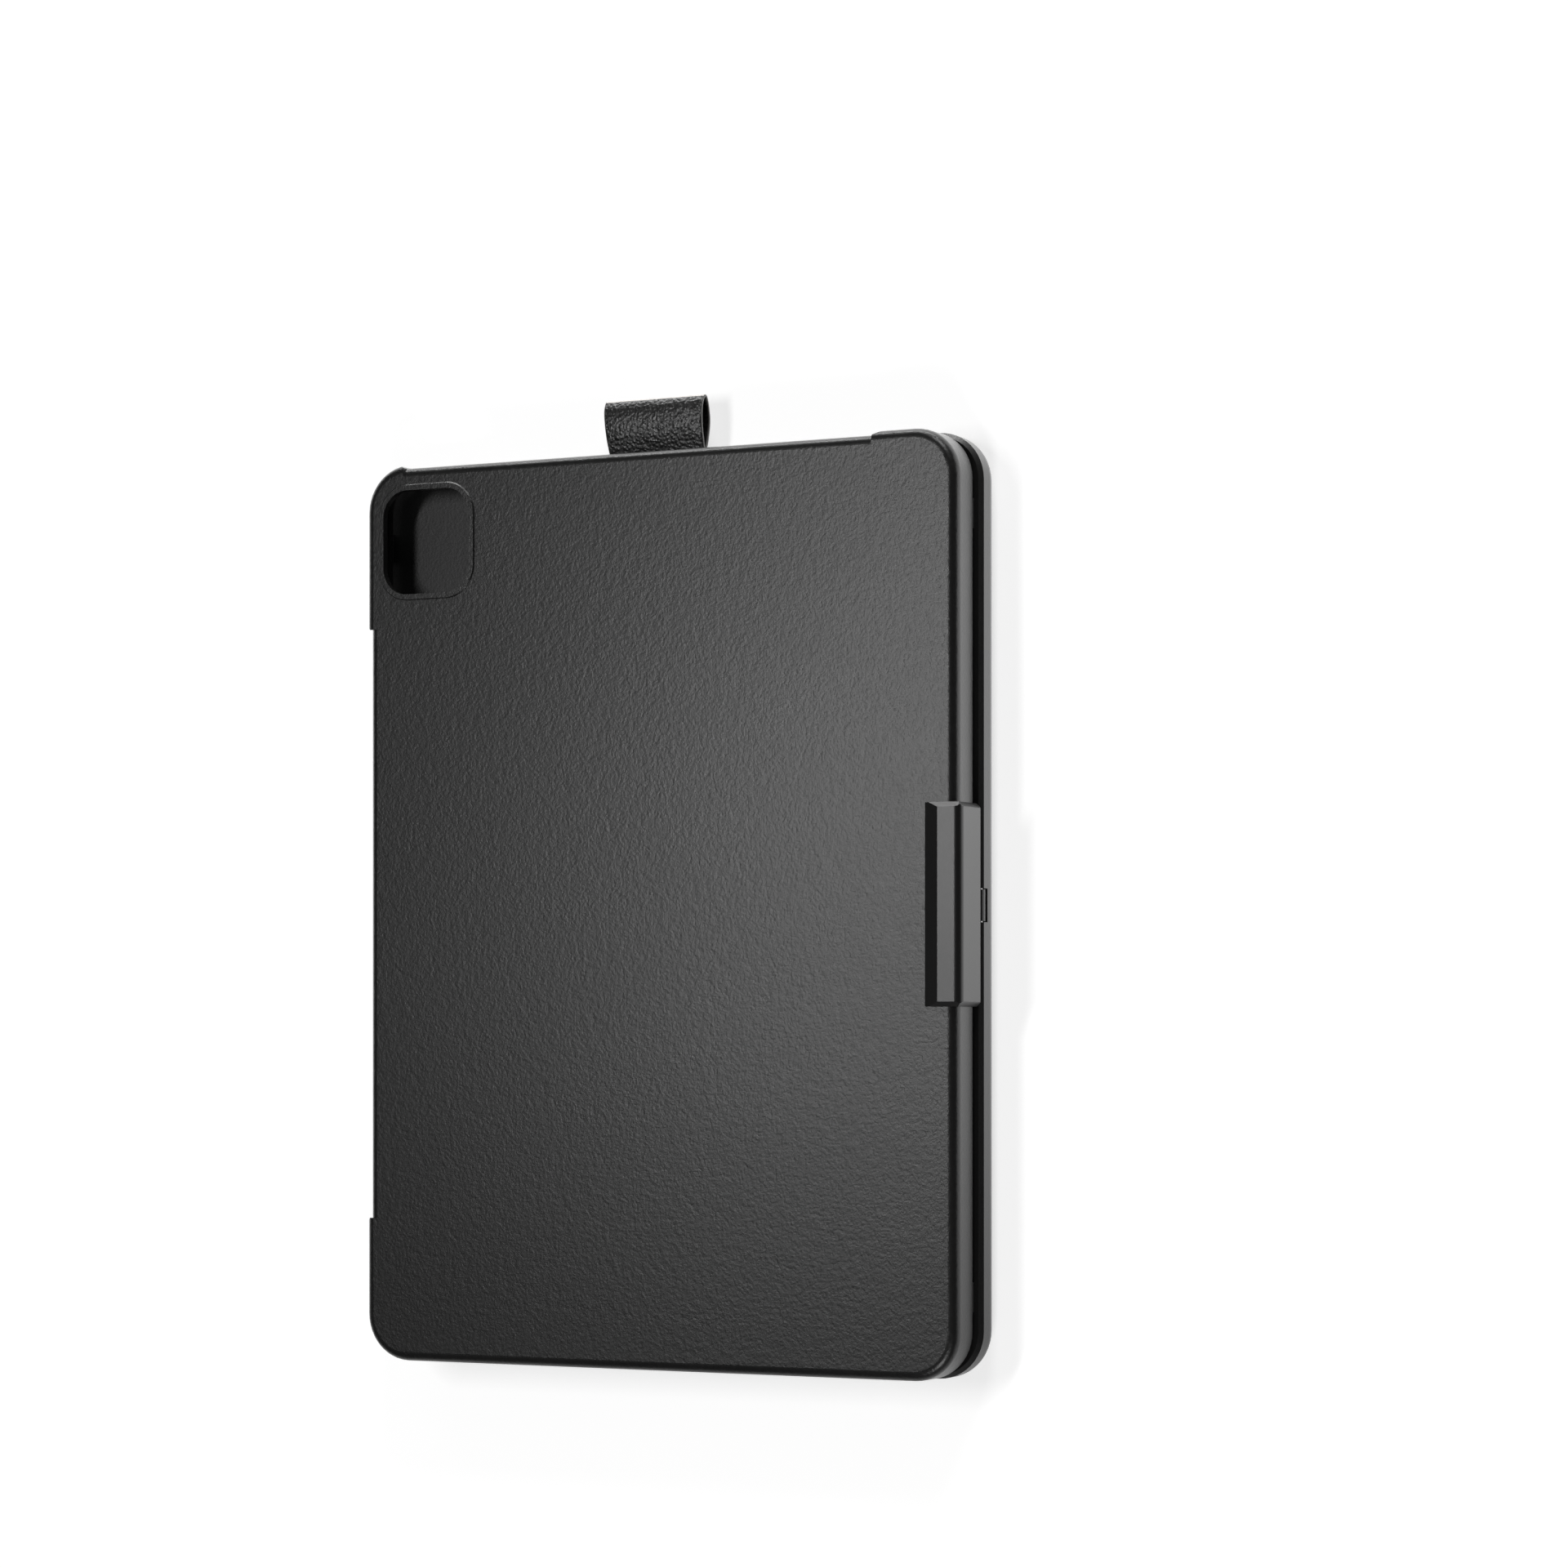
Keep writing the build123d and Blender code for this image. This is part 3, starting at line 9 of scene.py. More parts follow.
import json
import logging
import math
from dataclasses import dataclass
from enum import Enum
from typing import Any, Iterator, Sequence

import bmesh
import bpy
from mathutils import Matrix, Vector, noise

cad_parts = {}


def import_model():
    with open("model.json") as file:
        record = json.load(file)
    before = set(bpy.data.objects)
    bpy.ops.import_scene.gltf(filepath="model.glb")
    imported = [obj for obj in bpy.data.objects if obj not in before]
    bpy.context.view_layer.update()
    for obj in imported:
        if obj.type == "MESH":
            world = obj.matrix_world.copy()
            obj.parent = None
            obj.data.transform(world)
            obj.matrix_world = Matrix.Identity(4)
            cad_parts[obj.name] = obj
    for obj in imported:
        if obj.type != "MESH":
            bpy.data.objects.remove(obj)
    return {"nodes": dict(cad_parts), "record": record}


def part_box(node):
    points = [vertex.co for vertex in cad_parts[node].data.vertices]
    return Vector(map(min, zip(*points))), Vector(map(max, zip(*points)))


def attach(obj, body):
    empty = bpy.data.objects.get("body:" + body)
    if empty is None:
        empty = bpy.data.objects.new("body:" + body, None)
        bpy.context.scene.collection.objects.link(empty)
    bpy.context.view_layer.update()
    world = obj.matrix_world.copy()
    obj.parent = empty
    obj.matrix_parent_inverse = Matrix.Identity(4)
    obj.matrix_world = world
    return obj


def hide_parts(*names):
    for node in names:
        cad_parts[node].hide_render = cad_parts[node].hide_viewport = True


LOG = logging.getLogger("keyboard_case")
MM = 0.001

Colour = tuple[float, float, float, float]
Point = tuple[float, float, float]


class Sum(Enum):
    """The sums that a Math node works out."""

    PLUS = "ADD"
    MINUS = "SUBTRACT"
    TIMES = "MULTIPLY"


class Cells(Enum):
    """How the random cells of a texture meet."""

    ROUNDED = "SMOOTH_F1"
    SHARP = "F1"


class Ray(Enum):
    """Kinds of ray that a surface can answer differently."""

    CAMERA = "Is Camera Ray"
    GLOSSY = "Is Glossy Ray"
    TRANSMISSION = "Is Transmission Ray"


class Way(Enum):
    """Where an arrow key points, as a turn from +X."""

    RIGHT = 0.0
    UP = math.pi / 2
    LEFT = math.pi
    DOWN = -math.pi / 2


class Body(Enum):
    """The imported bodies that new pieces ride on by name."""

    BASE = "base"


def grey(level: float, warmth: float = 0.0) -> Colour:
    """A near-neutral colour: level is the linear brightness, warmth tips it towards red."""
    return (level * (1 + warmth), level, level * (1 - warmth), 1.0)


# ---- Shader arithmetic ----


@dataclass(frozen=True)
class Value:
    """A number that varies over a surface, held as an output socket of a recipe."""

    recipe: "Recipe"
    socket: bpy.types.NodeSocket

    def __add__(self, other: "Value | float") -> "Value":
        """Sum."""
        return self.recipe.maths(Sum.PLUS, self, other)

    __radd__ = __add__

    def __sub__(self, other: "Value | float") -> "Value":
        """Difference."""
        return self.recipe.maths(Sum.MINUS, self, other)

    def __rsub__(self, other: float) -> "Value":
        """Difference from a number."""
        return self.recipe.maths(Sum.MINUS, other, self)

    def __mul__(self, other: "Value | float") -> "Value":
        """Product."""
        return self.recipe.maths(Sum.TIMES, self, other)

    __rmul__ = __mul__


class Recipe:
    """A node tree of shader maths, shared by materials and the studio's surroundings."""

    def __init__(self, tree: bpy.types.NodeTree) -> None:
        """Empty a tree.

        Args:
            tree: The node tree of a material or a world.
        """
        self.tree = tree
        self.tree.nodes.clear()

    def node(
        self,
        kind: str,
        settings: dict[str, Any] | None = None,
        inputs: dict[str | int, Any] | None = None,
    ) -> bpy.types.Node:
        """Make a node.

        Args:
            kind: The node's type.
            settings: Properties of the node, set before its sockets are touched.
            inputs: Numbers, colours, sockets or Values for its input sockets.

        Returns:
            The new node.
        """
        made = self.tree.nodes.new(kind)
        for key, setting in (settings or {}).items():
            setattr(made, key, setting)
        for key, given in (inputs or {}).items():
            self.feed(made.inputs[key], given)
        return made

    def feed(self, socket: bpy.types.NodeSocket, given: Any) -> None:
        """Link a Value or socket to an input, or set a plain number or colour on it.

        Args:
            socket: The input socket.
            given: What it is given.
        """
        if isinstance(given, Value):
            given = given.socket
        if isinstance(given, bpy.types.NodeSocket):
            self.tree.links.new(given, socket)
        else:
            socket.default_value = given

    def value(
        self,
        kind: str,
        output: str | int,
        settings: dict[str, Any] | None = None,
        inputs: dict[str | int, Any] | None = None,
    ) -> Value:
        """Make a node and take one of its outputs as a Value.

        Args:
            kind: The node's type.
            output: The name or number of the output.
            settings: Properties of the node.
            inputs: What its input sockets are given.

        Returns:
            The output, ready for sums.
        """
        return Value(self, self.node(kind, settings, inputs).outputs[output])

    def maths(self, operation: Sum, first: Value | float, second: Value | float) -> Value:
        """One Math node."""
        return self.value("ShaderNodeMath", 0, {"operation": operation.value}, {0: first, 1: second})

    def place(self, stretch: Point = (1.0, 1.0, 1.0)) -> bpy.types.NodeSocket:
        """Where a point of the surface is on the object, in metres.

        Args:
            stretch: What each axis is multiplied by.

        Returns:
            The place, as a vector output.
        """
        where = self.node("ShaderNodeTexCoord").outputs["Object"]
        scaled = self.node("ShaderNodeVectorMath", {"operation": "MULTIPLY"}, {0: where, 1: stretch})
        return scaled.outputs[0]

    def noise(self, per_metre: float, detail: float = 2.0, stretch: Point = (1.0, 1.0, 1.0)) -> Value:
        """Soft noise around 0.5.

        Args:
            per_metre: How many features there are to the metre.
            detail: How many finer layers are added.
            stretch: What each axis is multiplied by.

        Returns:
            The noise.
        """
        inputs = {"Vector": self.place(stretch), "Scale": per_metre, "Detail": detail, "Roughness": 0.55}
        return self.value("ShaderNodeTexNoise", "Fac", None, inputs)

    def cells(self, per_metre: float, kind: Cells) -> Value:
        """Distance inside random cells, as pebbles or speckles lie."""
        inputs = {"Vector": self.place(), "Scale": per_metre, "Randomness": 1.0}
        return self.value("ShaderNodeTexVoronoi", "Distance", {"feature": kind.value}, inputs)

    def axis_value(self, axis: str) -> Value:
        """One coordinate of the surface point, in metres."""
        split = self.node("ShaderNodeSeparateXYZ", None, {0: self.place()})
        return Value(self, split.outputs[axis])

    def blend(self, factor: Value | float, first: Any, second: Any) -> bpy.types.NodeSocket:
        """Mix two colours.

        Args:
            factor: How much of the second colour there is, from 0 to 1.
            first: A colour or a colour output.
            second: A colour or a colour output.

        Returns:
            The mixed colour.
        """
        settings = {"data_type": "RGBA", "clamp_factor": True}
        return self.node("ShaderNodeMix", settings, {"Factor": factor, 6: first, 7: second}).outputs[2]

    def ramp(self, given: Value, low: float, high: float) -> Value:
        """Stretch a Value so that low becomes 0 and high becomes 1, and hold it there."""
        inputs = {0: given, 1: low, 2: high, 3: 0.0, 4: 1.0}
        return self.value("ShaderNodeMapRange", 0, {"clamp": True}, inputs)

    def bump(self, height: Value, distance: float, strength: float) -> bpy.types.NodeSocket:
        """A Bump node over a height that runs from 0 to 1."""
        inputs = {"Height": height, "Distance": distance, "Strength": strength}
        return self.node("ShaderNodeBump", None, inputs).outputs[0]

    def ray(self, kind: Ray) -> Value:
        """1 where the ray being traced is of this kind, else 0."""
        return self.value("ShaderNodeLightPath", kind.value)

    def mirrored(self) -> Value:
        """1 where the surface is seen in a gloss or through glass, else 0."""
        return self.ray(Ray.GLOSSY) + self.ray(Ray.TRANSMISSION)


class SurfaceRecipe(Recipe):
    """The node tree of one material, with a Principled surface at its end."""

    def __init__(self, name: str) -> None:
        """Start an empty material.

        Args:
            name: The material's name.
        """
        self.material = bpy.data.materials.new(name)
        self.material.use_nodes = True
        super().__init__(self.material.node_tree)
        self.surface = self.node("ShaderNodeBsdfPrincipled")
        output = self.node("ShaderNodeOutputMaterial")
        self.tree.links.new(self.surface.outputs[0], output.inputs["Surface"])

    def finish(self, **inputs: Any) -> bpy.types.Material:
        """Feed the Principled surface's inputs, named with underscores for spaces.

        Args:
            **inputs: Such as Base_Color, Roughness, Metallic or Normal.

        Returns:
            The finished material.
        """
        for name, given in inputs.items():
            self.feed(self.surface.inputs[name.replace("_", " ")], given)
        return self.material


# ---- Finishes ----


@dataclass(frozen=True)
class MouldedPlastic:
    """Black moulded plastic with a spark-eroded texture, finger smudges and a little dust.

    The grain, patches, streaks, specks and rubs are given as features to the metre.
    """

    name: str
    level: float = 0.009
    roughness: float = 0.32
    grain: float = 2300.0
    grain_height: float = 0.00001
    smudge: float = 0.02
    wear: float = 0.25
    specular: float = 0.5
    patches: float = 9.0
    streaks: float = 26.0
    specks: float = 3100.0
    rubs: float = 140.0

    def material(self) -> bpy.types.Material:
        """Build the finish.

        Returns:
            The new material.
        """
        recipe = SurfaceRecipe(self.name)
        grain = recipe.noise(self.grain, 3.0)
        coarse = recipe.noise(self.grain * 0.37, 2.0)
        patches = recipe.noise(self.patches, 4.0)
        streaks = recipe.noise(self.streaks, 3.0, (1.0, 0.25, 1.0))
        gathered = recipe.noise(self.specks, 1.0) + 0.25 * recipe.noise(60.0, 2.0)
        dust = recipe.ramp(gathered, 0.82, 0.92)
        rubbed = recipe.ramp(recipe.noise(self.rubs, 5.0), 0.56, 0.72) * self.wear
        low, high = grey(self.level * 0.86), grey(self.level * 1.14, 0.01)
        shade = recipe.blend(recipe.ramp(patches, 0.3, 0.7), low, high)
        speck = recipe.blend(recipe.ramp(grain, 0.35, 0.75) * 0.5, shade, grey(self.level * 1.5))
        dusty = recipe.blend(dust * 0.08, speck, grey(0.12, 0.03))
        gloss = (
            self.roughness
            + (patches - 0.5) * self.smudge * 2
            + (streaks - 0.5) * self.smudge
            + (grain - 0.5) * 0.06
            - rubbed * 0.03
        )
        relief = recipe.bump(grain * 0.6 + coarse * 0.4, self.grain_height, 0.9)
        return recipe.finish(
            Base_Color=dusty, Roughness=gloss, Normal=relief, Specular_IOR_Level=self.specular
        )


@dataclass(frozen=True)
class SoftRubber:
    """Matt rubber: dull, faintly blotchy, with dust caught in it.

    The blotches, specks and grain are given as features to the metre.
    """

    name: str
    level: float = 0.03
    dust: float = 0.35
    roughness: float = 0.72
    blotches: float = 420.0
    specks: float = 1500.0
    grain: float = 1800.0

    def material(self) -> bpy.types.Material:
        """Build the finish.

        Returns:
            The new material.
        """
        recipe = SurfaceRecipe(self.name)
        mottle = recipe.noise(self.blotches, 4.0)
        caught = recipe.ramp(recipe.noise(self.specks, 2.0), 0.58, 0.74) * self.dust
        shade = recipe.blend(mottle, grey(self.level * 0.8), grey(self.level * 1.3))
        dusty = recipe.blend(caught, shade, grey(0.12, 0.04))
        relief = recipe.bump(recipe.noise(self.grain, 3.0), 0.00005, 0.4)
        gloss = self.roughness + (mottle - 0.5) * 0.16
        return recipe.finish(Base_Color=dusty, Roughness=gloss, Normal=relief, Specular_IOR_Level=0.35)


@dataclass(frozen=True)
class Metal:
    """Bare or plated metal, drawn along one axis, with fine scratches."""

    name: str
    colour: Colour
    roughness: float = 0.32
    drawn: Point = (0.04, 1.0, 1.0)
    tarnish: float = 0.25
    scratches: float = 5200.0
    stains: float = 180.0

    def material(self) -> bpy.types.Material:
        """Build the finish.

        Returns:
            The new material.
        """
        recipe = SurfaceRecipe(self.name)
        lines = recipe.noise(self.scratches, 3.0, self.drawn)
        stain = recipe.ramp(recipe.noise(self.stains, 4.0), 0.5, 0.75) * self.tarnish
        dark = tuple(0.55 * part for part in self.colour[:3]) + (1.0,)
        tone = recipe.blend(stain, recipe.blend(lines * 0.35, self.colour, dark), dark)
        relief = recipe.bump(lines, 0.00001, 0.35)
        gloss = self.roughness + (lines - 0.5) * 0.18 + stain * 0.2
        return recipe.finish(Base_Color=tone, Metallic=1.0, Roughness=gloss, Normal=relief)


@dataclass(frozen=True)
class PebbledLeather:
    """Black leather with a pebble grain, creases, painted shade in the grain's valleys and a faint rub on
    the high spots.
    """

    name: str
    level: float = 0.009
    pebble: float = 1250.0
    creases: float = 330.0
    roughness: float = 0.42
    depth: float = 0.00024

    def material(self) -> bpy.types.Material:
        """Build the finish.

        Returns:
            The new material.
        """
        recipe = SurfaceRecipe(self.name)
        pebbles = recipe.cells(self.pebble, Cells.ROUNDED)
        fine = recipe.cells(self.pebble * 2.3, Cells.SHARP)
        crease = recipe.noise(self.creases, 4.0)
        dome = 1 - recipe.ramp(pebbles, 0.05, 0.75)
        height = dome * 0.7 + (1 - fine) * 0.15 + crease * 0.3
        # Colour follows the grain's height: painted shade in the valleys, lighter where rubbed on the
        # crests.
        valley_painted_shade, crest = grey(self.level * 0.45), grey(self.level * 1.5, 0.02)
        tone = recipe.blend(recipe.ramp(height, 0.35, 0.95), valley_painted_shade, crest)
        relief = recipe.bump(height, self.depth, 0.9)
        gloss = self.roughness - dome * 0.12 + (crease - 0.5) * 0.1
        return recipe.finish(Base_Color=tone, Roughness=gloss, Normal=relief, Specular_IOR_Level=0.8)


@dataclass(frozen=True)
class CutEdge:
    """Painted cut edge of the leather: smoother than the face, a little uneven."""

    name: str
    level: float = 0.07

    def material(self) -> bpy.types.Material:
        """Build the finish.

        Returns:
            The new material.
        """
        recipe = SurfaceRecipe(self.name)
        ripple = recipe.noise(1300.0, 4.0)
        tone = recipe.blend(ripple, grey(self.level * 0.6, 0.03), grey(self.level * 1.5, 0.05))
        relief = recipe.bump(ripple, 0.00008, 0.5)
        return recipe.finish(Base_Color=tone, Roughness=0.34 + ripple * 0.16, Normal=relief)


@dataclass(frozen=True)
class CircuitLaminate:
    """Solder-masked board: dark green, with copper tracks under the mask."""

    name: str
    tracks: float = 210.0
    mask_dark: Colour = (0.006, 0.045, 0.022, 1.0)
    mask_pale: Colour = (0.01, 0.07, 0.035, 1.0)
    over_copper: Colour = (0.05, 0.16, 0.06, 1.0)

    def material(self) -> bpy.types.Material:
        """Build the finish.

        Returns:
            The new material.
        """
        recipe = SurfaceRecipe(self.name)
        grid = {"Vector": recipe.place(), "Scale": self.tracks, "Mortar Size": 0.03}
        run = recipe.value("ShaderNodeTexBrick", "Fac", None, grid)
        mask = recipe.noise(90.0, 3.0)
        base = recipe.blend(mask, self.mask_dark, self.mask_pale)
        tone = recipe.blend(run * 0.7, base, self.over_copper)
        relief = recipe.bump(run, 0.00004, 0.4)
        return recipe.finish(Base_Color=tone, Roughness=0.3 + mask * 0.1, Normal=relief)


@dataclass(frozen=True)
class CellWrap:
    """Silver laminate pouch of a flat battery cell, softly crinkled."""

    name: str

    def material(self) -> bpy.types.Material:
        """Build the finish.

        Returns:
            The new material.
        """
        recipe = SurfaceRecipe(self.name)
        crinkle = recipe.noise(260.0, 5.0)
        tone = recipe.blend(crinkle, grey(0.45), grey(0.68, 0.01))
        relief = recipe.bump(crinkle, 0.0003, 0.5)
        return recipe.finish(Base_Color=tone, Metallic=0.85, Roughness=0.28 + crinkle * 0.22, Normal=relief)


@dataclass(frozen=True)
class LightLens:
    """Milky lens of an indicator that is not lit."""

    name: str

    def material(self) -> bpy.types.Material:
        """Build the finish.

        Returns:
            The new material.
        """
        recipe = SurfaceRecipe(self.name)
        cloud = recipe.noise(900.0, 2.0)
        tone = recipe.blend(cloud, grey(0.35), grey(0.6, 0.02))
        relief = recipe.bump(cloud, 0.00003, 0.3)
        return recipe.finish(Base_Color=tone, Roughness=0.25 + cloud * 0.15, Normal=relief)


@dataclass(frozen=True)
class KeyLegend:
    """White print on the keys, faintly uneven."""

    name: str

    def material(self) -> bpy.types.Material:
        """Build the finish.

        Returns:
            The new material.
        """
        recipe = SurfaceRecipe(self.name)
        print_noise = recipe.noise(3600.0, 3.0)
        tone = recipe.blend(print_noise, grey(0.5), grey(0.72))
        return recipe.finish(Base_Color=tone, Roughness=0.5 + print_noise * 0.1)


@dataclass(frozen=True)
class StudioSurface:
    """Plain pale floor that keeps the object's shadow.

    It gives off light to the lens, so that it shows evenly pale, and in glossy rays it gives off
    light as a painted reflection in glossy walls, strongest beside the loop's end and fading along X both
    ways.
    """

    name: str
    shade: float = 0.84
    to_lens: float = 0.41
    painted_reflection_level: float = 1.0
    lens_glow_and_painted_reflection: float = 1.5
    near_edge: tuple[float, float] = (-0.45, -0.2)
    fade_from: float = -0.02
    fade_to: float = 0.22

    def material(self) -> bpy.types.Material:
        """Build the finish.

        Returns:
            The new material.
        """
        recipe = SurfaceRecipe(self.name)
        tone = recipe.blend(recipe.noise(2.0, 2.0), grey(self.shade), grey(self.shade + 0.02))
        along = recipe.axis_value("X")
        fading = 1 - recipe.ramp(along, self.fade_from, self.fade_to)
        reach = fading * recipe.ramp(along, *self.near_edge)
        seen = recipe.ray(Ray.CAMERA) * self.to_lens
        # Painted reflection: glossy rays see the floor give off light, strongest beside the loop's end and
        # fading along X.
        mirrored = recipe.mirrored() * reach * self.painted_reflection_level
        lens_glow_and_painted_reflection = recipe.blend(seen + mirrored, grey(0.0), grey(self.lens_glow_and_painted_reflection))
        recipe.finish(Emission_Color=lens_glow_and_painted_reflection, Emission_Strength=1.0)
        return recipe.finish(Base_Color=tone, Roughness=0.9, Specular_IOR_Level=0.2)


# ---- Mesh helpers ----


def object_from(
    name: str, mesh: bmesh.types.BMesh, materials: Sequence[bpy.types.Material]
) -> bpy.types.Object:
    """Turn a bmesh into a linked object.

    Args:
        name: The piece's name.
        mesh: The bmesh, which is freed.
        materials: Its material slots, in order.

    Returns:
        The new object.
    """
    data = bpy.data.meshes.new(name)
    mesh.normal_update()
    mesh.to_mesh(data)
    mesh.free()
    made = bpy.data.objects.new(name, data)
    bpy.context.scene.collection.objects.link(made)
    for material in materials:
        data.materials.append(material)
    return made


def smooth_run(points: Sequence[tuple[float, float]], per_run: int) -> Iterator[tuple[float, float]]:
    """Places along a smooth curve through a few points.

    Args:
        points: The points that it passes through.
        per_run: How many steps lie between one point and the next.

    Yields:
        Each place in turn, both ends included.
    """
    for index in range(len(points) - 1):
        nearby = [points[min(max(index + shift, 0), len(points) - 1)] for shift in (-1, 0, 1, 2)]
        for step in range(per_run):
            part = step / per_run
            yield tuple(catmull_rom([point[axis] for point in nearby], part) for axis in (0, 1))
    yield points[-1]


def catmull_rom(values: Sequence[float], part: float) -> float:
    """A number between the second and the third of four, on a smooth curve through them.

    Args:
        values: The four numbers.
        part: How far from the second to the third, from 0 to 1.

    Returns:
        The number on the curve.
    """
    before, first, second, after = values
    slope_in, slope_out = (second - before) / 2, (after - first) / 2
    square, cube = part**2, part**3
    ends = (2 * cube - 3 * square + 1) * first + (3 * square - 2 * cube) * second
    return ends + (cube - 2 * square + part) * slope_in + (cube - square) * slope_out


def islands(node: bpy.types.Object) -> list[tuple[Vector, Vector]]:
    """Find the separate solids of a node.

    Args:
        node: A CAD node.

    Returns:
        The lowest and highest corner of each solid, from left to right.
    """
    mesh = bmesh.new()
    mesh.from_mesh(node.data)
    bmesh.ops.remove_doubles(mesh, verts=mesh.verts, dist=0.001 * MM)
    waiting, found = set(mesh.verts), []
    while waiting:
        group, edge = [], [waiting.pop()]
        while edge:
            vertex = edge.pop()
            group.append(vertex.co.copy())
            for link in vertex.link_edges:
                other = link.other_vert(vertex)
                if other in waiting:
                    waiting.remove(other)
                    edge.append(other)
        axes = list(zip(*group))
        found.append((Vector([min(axis) for axis in axes]), Vector([max(axis) for axis in axes])))
    mesh.free()
    return sorted(found, key=lambda pair: pair[0].x)


def middle_of_top(low: Vector, high: Vector) -> Vector:
    """The middle of a box's upper face."""
    return Vector(((low.x + high.x) / 2, (low.y + high.y) / 2, high.z))


def body_of(name: str, members: dict[str, list[str]]) -> str:
    """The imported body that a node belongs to."""
    return next(body for body, nodes in members.items() if name in nodes)


def dress(node: bpy.types.Object, material: bpy.types.Material) -> None:
    """Give a CAD node its material in every slot.

    Args:
        node: The CAD node.
        material: Its finish.
    """
    if not node.data.materials:
        node.data.materials.append(material)
    for slot in node.material_slots:
        slot.material = material


# ---- Sub-assemblies ----


@dataclass
class Lid:
    """The moulded lid, its hinge cover and the steel arm inside it."""

    nodes: dict[str, bpy.types.Object]
    plastic: MouldedPlastic = MouldedPlastic("lid_plastic", grain=1200.0, grain_height=0.00012)
    cover: MouldedPlastic = MouldedPlastic(
        "hinge_plastic", level=0.009, roughness=0.31, grain=2600.0, grain_height=0.000006
    )
    paint: MouldedPlastic = MouldedPlastic("arm_paint", level=0.008, roughness=0.36, grain=1700.0)
    steel: Metal = Metal("pressed_steel", grey(0.56))
    magnet: Metal = Metal("plated_magnet", grey(0.62, 0.02), 0.22, tarnish=0.1)
    screw: Metal = Metal("screw_steel", grey(0.3), 0.36, (1.0, 1.0, 0.1))

    def dress(self) -> None:
        """Give the lid's pieces their finishes."""
        dress(self.nodes["lid_shell"], self.plastic.material())
        dress(self.nodes["hinge_cover"], self.cover.material())
        dress(self.nodes["hinge_arm"], self.paint.material())
        steel = self.steel.material()
        dress(self.nodes["hinge_shaft"], steel)
        dress(self.nodes["hinge_brackets"], steel)
        dress(self.nodes["sleep_magnets"], self.magnet.material())
        screws = self.screw.material()
        for name in ("hinge_arm_screws", "bracket_screws", "case_screws"):
            dress(self.nodes[name], screws)


@dataclass
class VolumeButtons:
    """Two capsule buttons in the lid's front wall."""

    nodes: dict[str, bpy.types.Object]
    finish: MouldedPlastic = MouldedPlastic("button_plastic", level=0.009, roughness=0.3, grain=3000.0)

    def dress(self) -> None:
        """Give the buttons their finish."""
        material = self.finish.material()
        for name in ("volume_up_button", "volume_down_button", "power_switch_knob", "power_switch_body"):
            dress(self.nodes[name], material)


@dataclass
class Base:
    """Underside cover, deck, feet and what the base holds."""

    nodes: dict[str, bpy.types.Object]
    plastic: MouldedPlastic = MouldedPlastic(
        "base_plastic", roughness=0.34, grain=1250.0, grain_height=0.00005
    )

    def dress(self) -> None:
        """Give the base's pieces their finishes."""
        material = self.plastic.material()
        for name in ("base_bottom_cover", "base_top_deck"):
            dress(self.nodes[name], material)
        rubber = SoftRubber("foot_rubber", 0.028).material()
        dress(self.nodes["rubber_feet"], rubber)
        dress(self.nodes["deck_bumpers"], rubber)
        dress(self.nodes["key_membrane"], SoftRubber("sheet_rubber", 0.05, 0.1).material())
        dress(self.nodes["main_circuit_board"], CircuitLaminate("board").material())
        dress(self.nodes["battery_cells"], CellWrap("cell_foil").material())
        dress(self.nodes["status_light"], LightLens("light_lens").material())
        dress(self.nodes["usb_c_port"], Metal("port_steel", grey(0.62, 0.01), 0.25).material())
        plate = Metal("punched_plate", grey(0.42), 0.4, tarnish=0.15).material()
        for name in ("key_plate", "touchpad_bracket", "touchpad_switch"):
            dress(self.nodes[name], plate)


@dataclass
class Keyboard:
    """The keys and the touchpad."""

    nodes: dict[str, bpy.types.Object]
    caps: MouldedPlastic = MouldedPlastic(
        "key_plastic", level=0.014, roughness=0.42, grain=2900.0, smudge=0.05
    )
    pad: MouldedPlastic = MouldedPlastic(
        "touchpad_surface", level=0.03, roughness=0.36, grain=5200.0, grain_height=0.00001
    )

    def dress(self) -> bpy.types.Material:
        """Give keys and touchpad their finishes.

        Returns:
            The keys' finish.
        """
        material = self.caps.material()
        for name, node in self.nodes.items():
            if name.startswith(("key_", "keys_")) and name not in ("key_membrane", "key_plate"):
                dress(node, material)
        dress(self.nodes["touchpad_plate"], self.pad.material())
        return material


